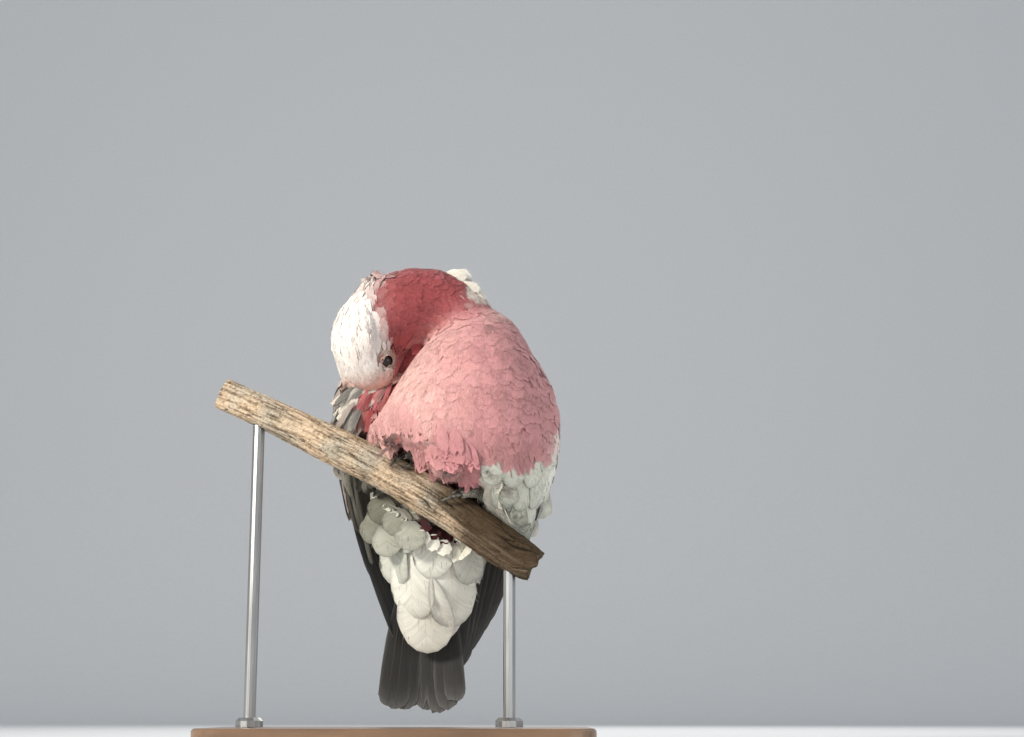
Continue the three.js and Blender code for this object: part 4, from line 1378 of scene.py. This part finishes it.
def make_undertail():
    """The long rounded coverts under the tail, each lying over the ones below it."""
    coat = Coat("undertail_plumes", "pale_feather", COAT_MATERIAL["undertail"])
    rows = np.array(UNDER_PLUMES)
    n = len(rows)
    start = box_place("undertail_coverts", rows[:, 0], rows[:, 1])
    end = box_place("undertail_coverts", rows[:, 2], rows[:, 3])
    # Greyer up high and to the left, ivory low down to the right: painted shade.
    low = (ease(0.1, 0.6, rows[:, 3]) * ease(0.0, 0.4, rows[:, 2]))[:, None]
    base = blend(blend(STONE, DOWN, 0.2), IVORY, low) * (1 + RNG.normal(0, 0.02, (n, 1)))
    # Their rims at half the colour: painted shadow in the gaps between layered feathers.
    lay(
        coat, PARTS["undertail_coverts"], start, end, rows[:, 4], base, base * 0.5, 0.6 + 0.28 * np.arange(n),
        {"round": 0.5, "edge": 0.8, "rim": 16, "cup": 0.4, "fringe": 0.008, "split": 0.0}, hair=24,
    )
    coat.make()


def tress(coat, start, end, width, base, tip, sag=3.0, hair=8, **look):
    """Loose feathers from start to end, facing the front."""
    n, rows = len(start), 6
    f = rows_and_columns(rows, 3)[0][None, :, None]
    path = start[:, None] * (1 - f) + end[:, None] * f
    path[..., 1] -= sag * np.sin(f[..., 0] * math.pi)
    way = unit(np.gradient(path, axis=1))
    normal = np.tile(np.array((0.0, -1.0, 0.0)), (n, rows, 1))
    normal = unit(normal - way * dot(normal, way)[..., None])
    length = np.linalg.norm(end - start, axis=1)
    look = {**LOOK, "comb": 0.03, "split": 0.1, "true": 0.5, **look}
    look["drop"], look["roll"] = width * 0.1, RNG.normal(0, 0.12, n)
    zero, seeds = np.zeros(n), RNG.uniform(0, 90, n)
    shape = vanes(coat, path, normal, way, length, width, zero, zero, base, tip, (rows, 7), seeds, look)
    add_hair(coat, shape, path, normal, way, length, base, tip, seeds, hair)


def make_preened():
    """The loose feathers at the wing's root that the bill is lost in, and those that fill the neck's fold."""
    coat = Coat("preened_feathers", "pink_feather", COAT_MATERIAL["neck"])
    n = 90
    k = RNG.random((n, 1))
    start = np.array((-12.0, 3.0, 242.0)) + np.array((20.0, -4.0, -10.0)) * (RNG.random((n, 3)) - 0.4)
    start[:, :1] -= 12 * k
    end = start + np.array((-9.0, 1.0, -22.0)) + np.array((-9.0, 0, 6.0)) * k + RNG.normal(0, 2.0, (n, 3))
    pale = blend(SLATE, CREAM, RNG.random((n, 1)) ** 0.7)
    red = blend(WINE, ROSE, RNG.random((n, 1)))
    base = blend(red, pale, ease(0.45, 0.8, k + RNG.normal(0, 0.12, (n, 1))))
    tress(coat, start, end, RNG.uniform(2.6, 4.6, n), base, blend(base, BLUSH, RNG.random((n, 1)) * 0.6))
    n = 110
    k = RNG.random((n, 1))
    start = np.array((-10.0, 5.0, 234.0)) + np.array((-24.0, 0.0, -6.0)) * k + RNG.normal(0, 2.5, (n, 3))
    end = start + np.array((-6.0, 1.0, -18.0)) + RNG.normal(0, 3.0, (n, 3))
    base = blend(WINE, DUSK, RNG.random((n, 1)))
    base = blend(base, blend(SLATE, DOWN, RNG.random((n, 1))), ease(0.5, 0.8, k))
    tress(coat, start, end, RNG.uniform(3.5, 5.5, n), base, blend(base, CREAM, RNG.random((n, 1)) * 0.5))
    n = 60
    start = np.array((0.0, 2.0, 268.0)) + np.array((16.0, 10.0, 22.0)) * RNG.random((n, 3))
    end = start + np.array((-7.0, 0.0, -27.0)) + RNG.normal(0, 2.0, (n, 3))
    base = blend(WINE, DUSK, RNG.random((n, 1)))
    tress(coat, start, end, RNG.uniform(6.0, 9.0, n), base, blend(base, ROSE, 0.3), sag=1.0, hair=12)
    coat.make()


WING_EDGE = (  # root and tip as shares across and down the box of the left wing's arm, and width
    (0.93, 0.33, 0.9, 0.66, 11), (0.74, 0.77, 0.65, 1.0, 8), (0.78, 0.6, 0.7, 0.96, 12),
    (0.87, 0.5, 0.79, 0.88, 17),
)
FLANK = (  # the same in the box of the left thigh
    (0.23, 0.49, 0.31, 0.81, 16), (0.54, 0.49, 0.62, 0.86, 18), (0.85, 0.44, 0.85, 0.83, 16),
    (0.08, 0.31, 0.13, 0.64, 15), (0.38, 0.27, 0.46, 0.64, 18), (0.72, 0.24, 0.77, 0.63, 18),
    (0.98, 0.2, 0.94, 0.58, 14), (0.23, 0.07, 0.26, 0.41, 17), (0.56, 0.03, 0.62, 0.41, 19),
    (0.9, 0.0, 0.9, 0.39, 17),
)
HEM = (  # the pink edge that hangs over the thigh, in the same box
    (-0.12, -0.06, -0.05, 0.28, 12), (0.0, -0.1, 0.07, 0.2, 13), (0.14, -0.12, 0.2, 0.24, 12),
    (0.3, -0.1, 0.34, 0.16, 12), (0.46, -0.1, 0.5, 0.28, 12), (0.62, -0.12, 0.66, 0.34, 12),
    (0.78, -0.16, 0.81, 0.25, 13), (0.92, -0.2, 0.95, 0.14, 12),
)
VENT = (  # the scales between the branch and the undertail, darkened as painted shade, in the box of the undertail coverts
    (0.1, -0.02, 0.1, 0.26, 21), (0.32, -0.02, 0.33, 0.22, 22), (0.84, -0.06, 0.86, 0.2, 20),
    (-0.02, -0.14, -0.04, 0.14, 20), (0.2, -0.16, 0.2, 0.1, 21), (0.86, -0.24, 0.88, 0.06, 18),
    (0.06, -0.27, 0.05, 0.0, 20), (0.3, -0.28, 0.31, -0.02, 19), (-0.08, -0.36, -0.1, -0.06, 19),
    (0.16, -0.4, 0.16, -0.12, 20), (0.0, -0.5, 0.0, -0.2, 19), (0.28, -0.52, 0.28, -0.24, 19),
)
BRANCH_SHADE = (  # dark red feathers painted as the shade behind the branch, in the same box
    (0.45, -0.1, 0.46, 0.06, 9), (0.53, -0.08, 0.54, 0.12, 10), (0.62, -0.06, 0.62, 0.16, 10),
    (0.7, -0.04, 0.7, 0.15, 9),
)
LIT = (  # the sunlit rim under that painted shade, in the same box
    (0.72, 0.15, 0.71, 0.29, 11), (0.63, 0.12, 0.62, 0.25, 12), (0.54, 0.08, 0.52, 0.21, 10),
    (0.45, 0.05, 0.42, 0.16, 12), (0.76, 0.0, 0.77, 0.14, 9),
)


def laid(name, slot, material, node, surface, rows, base, edge, rise, look, hair, tone=0.03, even=0.0):
    """A piece of large feathers on a surface's front, their places given in the box of a node.

    edge is how light their edges are, rise how high the first lies, and tone how much they vary."""
    coat = Coat(name, slot, COAT_MATERIAL[material])
    rows = np.array(rows)
    n = len(rows)
    start, end = (box_place(node, rows[:, k], rows[:, k + 1]) for k in (0, 2))
    tip = BLUSH
    if base is not None:
        base = np.broadcast_to(base, (n, 3)) * (1 + RNG.normal(0, tone, (n, 1)))
        tip = base * edge
    style = {"round": 0.45, "edge": 0.75, "rim": 14, "cup": 0.35, "split": 0.0, "fringe": 0.01}
    high = rise + 0.25 * np.arange(n)
    look = {**style, **look}
    lay(coat, surface, start, end, rows[:, 4], base, tip, high, look, hair=hair, quill=0, even=even)
    coat.make()


def make_laid():
    """The rows of large feathers in front: flank, wing edge, hem, vent in painted shade, and the painted
    shade behind the branch with its lit rim.
    """
    tail_box = "undertail_coverts"
    pale, edge = blend(CREAM, STONE, 0.5), blend(IVORY, STONE, 0.2)
    laid("flank_feathers", "pale_feather", "thigh", "thigh_left", BODY, FLANK, pale, 0.45, 0.6, {}, 40)
    arm = "wing_left_arm"
    laid("wing_edge_feathers", "pale_feather", "thigh", arm, PARTS[arm], WING_EDGE, edge, 0.6, 1.0, {}, 30)
    hang = {"fringe": 0.05, "comb": 0.05, "split": 0.25, "rim": 4, "edge": 0.6, "root": 1.0, "true": 0.5}
    laid("hem_feathers", "pink_feather", "breast", "thigh_left", BODY, HEM, None, 1, 0.8, hang, 220)
    # The vent scales: pale feathers darkened and greened as painted shade, the upper ones most.
    shaded_vent = blend(blend(STONE, DOWN, 0.5), SLATE, 0.2) * (0.62, 0.62, 0.53)
    lower = 0.8 * ease(-0.05, 0.35, np.array(VENT)[:, 3])
    shaded_vent = blend(shaded_vent * 0.72, blend(CREAM, STONE, 0.4) * 0.8, lower)
    flat = {"cup": 0.15}
    slot = "pale_feather"
    laid("vent_feathers", slot, "undertail", tail_box, BODY, VENT, shaded_vent, 0.4, 0.3, flat, 40, 0.08, 0.8)
    # Dark red feathers behind the branch: painted shade.
    dark = {"edge": 0.0, "split": 0.2, "root": 0.6}
    red, slot = DEEP * 0.22, "pink_feather"
    laid("branch_shade_feathers", slot, "breast", tail_box, BODY, BRANCH_SHADE, red, 1.0, 1.0, dark, 20, 0.1, 0.5)
    lit = blend(IVORY, CREAM, 0.5)
    torn = {"split": 0.3, "comb": 0.05, "fringe": 0.05, "edge": 0.2}
    laid("lit_feathers", "pale_feather", "undertail", tail_box, BODY, LIT, lit, 0.8, 2.6, torn, 60, 0.03, 0.5)


def make_lead_edge():
    """The pale feathers along the front edge of the right wing, below the branch."""
    coat = Coat("wing_right_edge", "pale_feather", COAT_MATERIAL["thigh"])
    names = ["wing_right_arm", "wing_right_flight"]
    surface = surface_of(merged(names, VOXEL, 2))
    left = box_mm("wing_right_arm")[0][0]
    rows = np.array([(11.5, 190, 24.5, 124, 7), (8.5, 193, 16.5, 148, 8), (6.5, 200, 11.0, 168, 8)])
    start, end = (left + rows[:, 0], rows[:, 1]), (left + rows[:, 2], rows[:, 3])
    base = np.tile(CREAM, (3, 1))
    style = {"round": 0.4, "edge": 0.6, "rim": 10, "cup": 0.3, "split": 0.0}
    high = np.array((1.6, 2.0, 2.4))
    lay(coat, surface, start, end, rows[:, 4], base, base * 0.4, high, style, 20, bow=-1.0, quill=0.3)
    coat.make()


def make_tuft():
    """The loose pale lobes where the neck meets the shoulder."""
    coat = Coat("tuft_feathers", "pale_feather", COAT_MATERIAL["thigh"])
    top = np.array((NECK_HIGH[0] - 30.0, 2.0, NECK_HIGH[2] - 14.0))
    n = 22
    for lobe, (dx, dz) in enumerate(((-6.0, 6.0), (0.0, 2.0), (5.0, -4.0), (7.0, -12.0))):
        spread = RNG.normal(0, 1, (n, 3)) * 2.0
        start = top + np.array((dx - 9.0, 6.0 - lobe * 1.5, dz + 1.0)) + spread
        way = unit(np.array((1.0, 0.0, -0.25 - 0.28 * lobe)) + RNG.normal(0, 0.16, (n, 3)))
        end = start + way * RNG.uniform(13.0, 17.0, (n, 1))
        base = blend(DOWN, CREAM, RNG.uniform(0.45, 1.0, (n, 1)))
        width = RNG.uniform(6.0, 9.0, n)
        tress(coat, start, end, width, base, blend(base, WHITE, 0.5), 2.0, 30, round=0.35, split=0.2)
    coat.make()


def make_skirts():
    """The feathers of the belly that hang down to the branch and over the toes."""
    coat = Coat("belly_fringe", "pink_feather", COAT_MATERIAL["breast"])
    n = 150
    x = -26 + 76 * RNG.random(n)
    toes = [np.mean([end[0] for end in box_mm(f"foot_{side}")]) for side in ("left", "right")]
    near = np.max([ease(17, 12, np.abs(x - toe)) for toe in toes], 0)
    line = np.interp(x, BRANCH_MIDS[:, 0], BRANCH_MIDS[:, 2]) + RNG.normal(0, 1.5, n)
    along = x + RNG.normal(0, 1, n)
    shorter = RNG.uniform(0, 12, n) * (RNG.random(n) < 0.5)
    ends = (along, line + 10.0 + 13.0 * near + shorter)
    starts = (ends[0] - 2.5, ends[1] + RNG.uniform(14, 19, n))
    style = {"fringe": 0.05, "comb": 0.05, "split": 0.2, "rim": 3, "edge": 0.5, "root": 1.0, "true": 0.4}
    high = 0.4 + RNG.uniform(0.0, 0.8, n)
    # Paler on the left and darker on the right: partly the breast's own tone, partly painted light and shade.
    base = blend(PETAL, HEATH, ease(-30, 50, x)[:, None]) * (0.92 + RNG.normal(0, 0.04, (n, 1)))
    tip = blend(base, ROSE, 0.3)
    width = RNG.uniform(7.0, 10.0, n)
    lay(coat, BODY, starts, ends, width, base, tip, high, style, 90, quill=0, form=(6, 7), even=0.75)
    coat.make()


# ---------------------------------------------------------------- hard parts
def smooth_piece(name, node, voxel, rounds, slot, material, shape, tint):
    """A fine smooth mesh in place of a node.

    shape(points, normals) gives how far each point moves out, in mm, and tint its colour."""
    mesh = merged([node], voxel * MM, rounds)
    p, n, _ = arrays(mesh)
    p = p / MM
    if shape is not None:
        p = p + n * shape(p, n)[:, None]
        mesh.vertices.foreach_set("co", (p * MM).astype(np.float32).reshape(-1))
        mesh.update()
    give(mesh, "tint", opaque(np.clip(tint(p, n), 0, 1)))
    mesh.name = name
    show(name, mesh, material, slot, node)


def cells(p, size, seed=0.0):
    """Distances to the nearest and next seed of random cells, in cells: (near, next)."""
    out = np.empty((len(p), 2))
    for k, (x, y, z) in enumerate((p / size + seed).tolist()):
        far, _ = noise.voronoi(Vector((x, y, z)))
        out[k] = far[0], far[1]
    return out[:, 0], out[:, 1]


def make_bill():
    gloss = dict(Coat_Weight=0.25, Coat_Roughness=0.3)
    horn = grain_material("horn", tuple(SHELL), 0.42, 260, 0.1, 0.12, **gloss)

    def growth(p, n):
        forward = head_frame(p)[0]
        return 0.12 * np.sin(forward * 2.2 + ripple(p, 0.3)) * ease(16, 22, forward)

    def colour(p, n):
        forward = head_frame(p)[0]
        darkened = blend(SHELL, DOWN * 0.8, 0.5 * ease(0.0, 0.6, ripple(p, 0.25)))
        return blend(darkened, DOWN * 0.55, 0.5 * ease(36, 30, forward) * ease(22, 17, forward))

    for name in ("bill_upper", "bill_lower"):
        smooth_piece(name + "_horn", name, 0.45, 6, "bill_horn", horn, growth, colour)


EYE = {"radius": 4.9, "iris": 0.62, "pupil": 0.4, "opening": 3.5, "ring": 8.2}  # iris and pupil in radians


def eye_material():
    ball, tree, p = shader(
        "eye", (0.012, 0.008, 0.006), 0.1, Coat_Weight=0.25, Coat_Roughness=0.05, Specular_IOR_Level=0.35
    )
    tint = add(tree, "Attribute", attribute_name="tint").outputs["Color"]
    place = add(tree, "Attribute", attribute_name="vane").outputs["Vector"]
    streak = fleck(tree, place, 6.0, 3.0)
    tree.links.new(shade(tree, tint, span(tree, streak, 0.3, 0.7, 0.6, 1.5)), p.inputs["Base Color"])
    return ball


def ring_faces(a, b):
    """Faces between two rings of points."""
    return np.stack([a, np.roll(a, -1), np.roll(b, -1), b], 1)


def make_ball(name, mid, out, u, v, material):
    """An eyeball with a bulging cornea; its vane vector turns with the spokes of the iris."""
    rings, sides = 24, 40
    a = np.linspace(0, math.pi, rings + 1)[1:-1]
    turn = np.arange(sides) * 2 * math.pi / sides
    radius = EYE["radius"] * (1 + 0.1 * ease(0.75, 0.0, a))
    circle = u * np.cos(turn)[:, None] + v * np.sin(turn)[:, None]
    across, along = (radius * np.sin(a))[:, None, None], (radius * np.cos(a))[:, None, None]
    points = mid + along * out + across * circle[None]
    ends = np.array([mid + out * EYE["radius"] * 1.1, mid - out * EYE["radius"]])
    flat = np.concatenate([points.reshape(-1, 3), ends])
    grid = np.arange((rings - 1) * sides).reshape(rings - 1, sides)
    belts = np.concatenate([ring_faces(grid[k], grid[k + 1]) for k in range(rings - 2)])[:, ::-1]
    front, back = len(flat) - 2, len(flat) - 1
    first, last = grid[0], grid[-1]
    fan = np.stack([np.full(sides, front), first, np.roll(first, -1)], 1)
    foot = np.stack([np.full(sides, back), np.roll(last, -1), last], 1)
    mesh = mesh_of("eye_ball_" + name, flat * MM, [belts, fan, foot])
    angle = np.concatenate([np.repeat(a, sides), [0, math.pi]])
    iris = ease(EYE["pupil"], EYE["pupil"] + 0.06, angle) * ease(EYE["iris"] + 0.14, EYE["iris"], angle)
    brown, dark = linear("#1c0e09"), np.array((0.004, 0.003, 0.003))
    give(mesh, "tint", opaque(blend(dark, brown, iris)))
    spoke = np.concatenate([np.tile(turn, rings - 1), [0, 0]])
    give(mesh, "vane", np.stack([np.cos(spoke) * 4, np.sin(spoke) * 4, angle], 1))
    show("eye_ball_" + name, mesh, material, "eye", "eye_" + name)


def make_eyes():
    """A ball, and round it a lid and a ring of bare wrinkled skin."""
    ball = eye_material()
    bare = grain_material("bare_skin", (0.28, 0.23, 0.19), 0.6, 1400, 0.22, 0.5, Specular_IOR_Level=0.35)
    for name in ("left", "right"):
        mid = middle("eye_" + name)
        out = unit(mid - (HEAD_MID + BILL_WAY * EYE_AT[0] + CROWN_WAY * EYE_AT[1]))
        u = unit(BILL_WAY - out * dot(BILL_WAY, out))
        v = np.cross(out, u)
        make_ball(name, mid, out, u, v, ball)
        make_lids(name, mid, out, u, v, bare)


def make_lids(name, mid, out, u, v, material):
    """The lid's rolled rim on the ball, and the wrinkled ring round it down to the feathers."""
    sides, rows = 96, 16
    turn = np.arange(sides) * 2 * math.pi / sides
    f = np.linspace(0, 1, rows)
    corner = np.maximum(np.cos(turn + math.pi), 0) ** 6  # the ring runs to a point behind the eye
    opening = EYE["opening"] * (1 + 0.2 * np.cos(2 * turn))
    outer = EYE["ring"] * (1 - 0.06 * np.cos(2 * turn) + 0.16 * corner)
    circle = u * np.cos(turn)[:, None] + v * np.sin(turn)[:, None]
    radius = opening[None] + (outer - opening)[None] * f[:, None]
    flat = mid + circle[None] * radius[..., None] + out * 4
    hit, normal = BODY.nearest(flat.reshape(-1, 3))[:2]
    hit, normal = hit.reshape(rows, sides, 3), normal.reshape(rows, sides, 3)
    on_ball = mid + unit(hit - mid) * (EYE["radius"] + 0.15)
    lid = ease(0.35, 0.0, f)[:, None, None]
    base = (hit - out * 0.9) * (1 - lid) + on_ball * lid
    swirl = turn[None] * 34 + 3 * np.sin(turn[None] * 5) + 14 * f[:, None]
    wave = 1.6 * np.sin(turn[None] * 3 + 1)
    fold = np.sin(f[:, None] * 21 + wave + 0.8 * np.sin(turn[None] * 11)) * 0.3 + np.sin(swirl) * 0.15
    rise = 0.45 + 0.9 * np.exp(-(((f - 0.14) / 0.13) ** 2))[:, None] + fold * ease(0.0, 0.25, f)[:, None]
    rise = rise * ease(1.0, 0.86, f)[:, None]
    top = base + out * rise[..., None]
    under = top - out * (1.2 + 0 * rise)[..., None]
    under[0], under[-1] = top[0] - out * 0.5, top[-1] - out * 0.4
    points = np.concatenate([top.reshape(-1, 3), under.reshape(-1, 3)])
    n = rows * sides
    grid = np.arange(n).reshape(rows, sides)
    faces = [ring_faces(grid[k], grid[k + 1]) for k in range(rows - 1)]
    faces += [ring_faces(grid[k + 1] + n, grid[k] + n) for k in range(rows - 1)]
    faces += [ring_faces(grid[0] + n, grid[0]), ring_faces(grid[-1], grid[-1] + n)]
    mesh = mesh_of("eye_lids_" + name, points * MM, np.concatenate(faces)[:, ::-1])
    pale, flush = linear("#a9998c"), linear("#9a7c70")
    tone = blend(pale, flush, ease(0.0, 0.9, 0.5 + 0.5 * np.sin(turn * 3 + 1)))
    # Lighter on the wrinkles' ridges and darker in their grooves: painted light and shade.
    tone = tone[None] * (1 + fold * 0.5)[..., None]
    rim = ease(0.1, 0.02, f)[:, None] + 0 * turn[None]
    rimmed = blend(tone, np.array((0.03, 0.02, 0.018)), rim).reshape(-1, 3)
    give(mesh, "tint", opaque(np.clip(np.concatenate([rimmed, rimmed * 0.5]), 0, 1)))
    show("eye_lids_" + name, mesh, material, "toe_skin")


SCALE = 1.7  # a toe scale's size in mm
TOE_PALE, TOE_DARK = linear("#b3afa1"), linear("#574d43")


def toe_relief(p, n):
    near, far = cells(p, SCALE)
    return 0.34 * ease(0.0, 0.3, far - near) - 0.2


def toe_colour(p, n):
    near, far = cells(p, SCALE)
    # Dark in the grooves between scales, as painted shade, and paler on top, as painted light.
    plate = ease(0.02, 0.22, far - near) * (0.75 + 0.25 * ease(-0.5, 0.7, n[:, 2]))
    return blend(TOE_DARK, TOE_PALE, plate)


def claw_colour(p, n):
    return blend(TOE_DARK * 0.35, TOE_PALE * 0.4, ease(-0.2, 0.8, ripple(p, 0.5)))


def make_feet():
    gloss = dict(Coat_Weight=0.3, Coat_Roughness=0.25)
    scaly = grain_material("toe_skin", (0.16, 0.15, 0.13), 0.55, 1500, 0.2, 0.35, Specular_IOR_Level=0.4)
    hard = grain_material("claw", (0.1, 0.09, 0.08), 0.35, 700, 0.2, 0.15, **gloss)
    for side in ("left", "right"):
        smooth_piece(f"toes_{side}", f"foot_{side}", 0.42, 7, "toe_skin", scaly, toe_relief, toe_colour)
        for name in sorted(name for name in NODES if name.startswith(f"claw_{side}")):
            smooth_piece(name + "_horn", name, 0.22, 4, "claw", hard, None, claw_colour)


def make_branch():
    mids = BRANCH_MIDS
    along = unit(np.gradient(mids, axis=0))
    grain_way = np.array((0.93, 0, -0.37))

    def around(p):
        """How far along the branch, and the angle round it from its top."""
        q = np.array([np.interp(p[:, 0], mids[:, 0], mids[:, k]) for k in range(3)]).T
        way = unit(np.array([np.interp(p[:, 0], mids[:, 0], along[:, k]) for k in range(3)]).T)
        r = p - q
        r = r - way * dot(r, way)[:, None]
        over = unit(UP - way * dot(way, UP)[:, None])
        turn = np.arctan2(dot(r, BACK[None]), dot(r, over))
        return dot(p, grain_way), turn

    def woody(p, stretch, turns, seed):
        x, turn = around(p)
        q = np.stack([x * stretch, np.cos(turn) * turns, np.sin(turn) * turns], 1)
        return ripple(q, 1.0, seed)

    def fissures(p):
        """Long cracks with the grain: where two fields of noise pass through nothing."""
        wide = np.abs(woody(p, 0.014, 2.6, 13.0) + 0.25 * woody(p, 0.06, 5.0, 5.0))
        fine = np.abs(woody(p, 0.03, 6.0, 23.0) + 0.2 * woody(p, 0.15, 9.0, 8.0))
        where = ease(-0.35, 0.15, woody(p, 0.02, 1.3, 31.0))
        elsewhere = ease(-0.3, 0.3, woody(p, 0.05, 2.0, 41.0))
        return ease(0.075, 0.015, wide) * where, ease(0.1, 0.02, fine) * elsewhere

    def relief(p, n):
        ridge = woody(p, 0.02, 1.7, 2.0)
        fibre = woody(p, 0.07, 7.5, 7.0)
        pits = ripple(p, 0.35, 3.0)
        wide, fine = fissures(p)
        side = 1 - ease(0.94, 0.99, np.abs(n[:, 0]))
        return side * (0.9 * ridge + 0.35 * fibre + 0.2 * pits - 1.6 * wide - 0.7 * fine) - 0.3

    def colour(p, n):
        fibre = woody(p, 0.06, 10.0, 17.0)
        wide, fine = fissures(p)
        tan, grey, brown, black = (linear(text) for text in ("#cdb598", "#b5ab99", "#6b563e", "#1c1710"))
        base = blend(tan, grey, ease(-0.4, 0.5, ripple(p, 0.06, 4.0)))
        base = blend(base, brown, 0.65 * ease(-0.05, 0.45, fibre))
        fleck = ease(0.15, 0.45, ripple(p, 0.5, 12.0) + 0.4 * fibre)
        base = blend(base, brown * 0.8, 0.55 * fleck)
        # Darker brown-black on the upper side towards the right, and the right end darker still.
        darkened = ease(8.0, 36.0, p[:, 0] + 14 * ripple(p, 0.06)) * ease(-0.85, 0.1, n[:, 2] + 0.7 * fibre)
        dark_top_tone = blend(brown, black, 0.55 + 0.35 * ripple(p, 0.25, 9.0))
        base = blend(base, dark_top_tone, 0.95 * darkened)
        base = blend(base, brown * 0.4, 0.85 * ease(20, 50, p[:, 0] + 12 * ripple(p, 0.08, 2.0)))
        end = ease(0.9, 0.97, np.abs(n[:, 0]))
        base = blend(base, blend(tan, brown, 0.4) * 1.1, end)
        return blend(base, black, np.maximum(0.95 * wide, 0.75 * fine))

    rough = dict(stretch=(0.5, 1, 1), bump=0.5 * MM, Specular_IOR_Level=0.2)
    wood = grain_material("dead_wood", (0.3, 0.25, 0.18), 0.85, 900, 0.38, 0.8, **rough)
    smooth_piece("branch_wood", "perch_branch", 0.75, 2, "dead_wood", wood, relief, colour)


def make_stand():
    varnish = dict(stretch=(0.12, 1.6, 1), tinted=False, Coat_Weight=0.4, Coat_Roughness=0.18)
    brushed = dict(stretch=(1, 1, 0.04), tinted=False, Metallic=1.0)
    board = grain_material("base_board", (0.19, 0.11, 0.06), 0.34, 60, 0.35, 0.12, **varnish)
    steel = grain_material("stand_steel", (0.42, 0.42, 0.41), 0.34, 500, 0.08, 0.1, **brushed)
    for name, o in NODES.items():
        if not name.startswith("stand_"):
            continue
        dress(o.data, board if name == "stand_base" else steel)
        soft = o.modifiers.new("edges", "BEVEL")
        soft.width = (1.6 if name == "stand_base" else 0.4) * MM
        soft.segments, soft.limit_method, soft.angle_limit = 3, "ANGLE", math.radians(40)
        soft.harden_normals = True


COAT_MATERIAL = {}


def make_coat_materials():
    """A feather material for each kind of feather; kinds in one group share it."""
    pink = ("face", "neck", "breast")
    for kinds, name, base, rough, barbs, depth, gloss in (
        (pink, "soft_pink", ROSE, 0.82, 13, 0.45, 0.2),
        (("cap", "crest"), "soft_white", WHITE, 0.8, 11, 0.35, 0.2),
        (("thigh", "undertail"), "pale", CREAM, 0.72, 16, 0.4, 0.2),
        (("mantle", "covert", "underwing"), "grey", ASH, 0.68, 18, 0.4, 0.25),
        (("flight",), "flight", SLATE, 0.6, 42, 0.35, 0.3),
    ):
        material = feather_material(name, tuple(base), rough, barbs, depth, gloss)
        COAT_MATERIAL.update(dict.fromkeys(kinds, material))


place_camera()
light_and_stage()
make_coat_materials()
make_skin()
grow_body()
make_wings()
make_tail()
make_undertail()
make_preened()
make_laid()
make_lead_edge()
make_tuft()
make_skirts()
make_bill()
make_eyes()
make_feet()
make_branch()
make_stand()
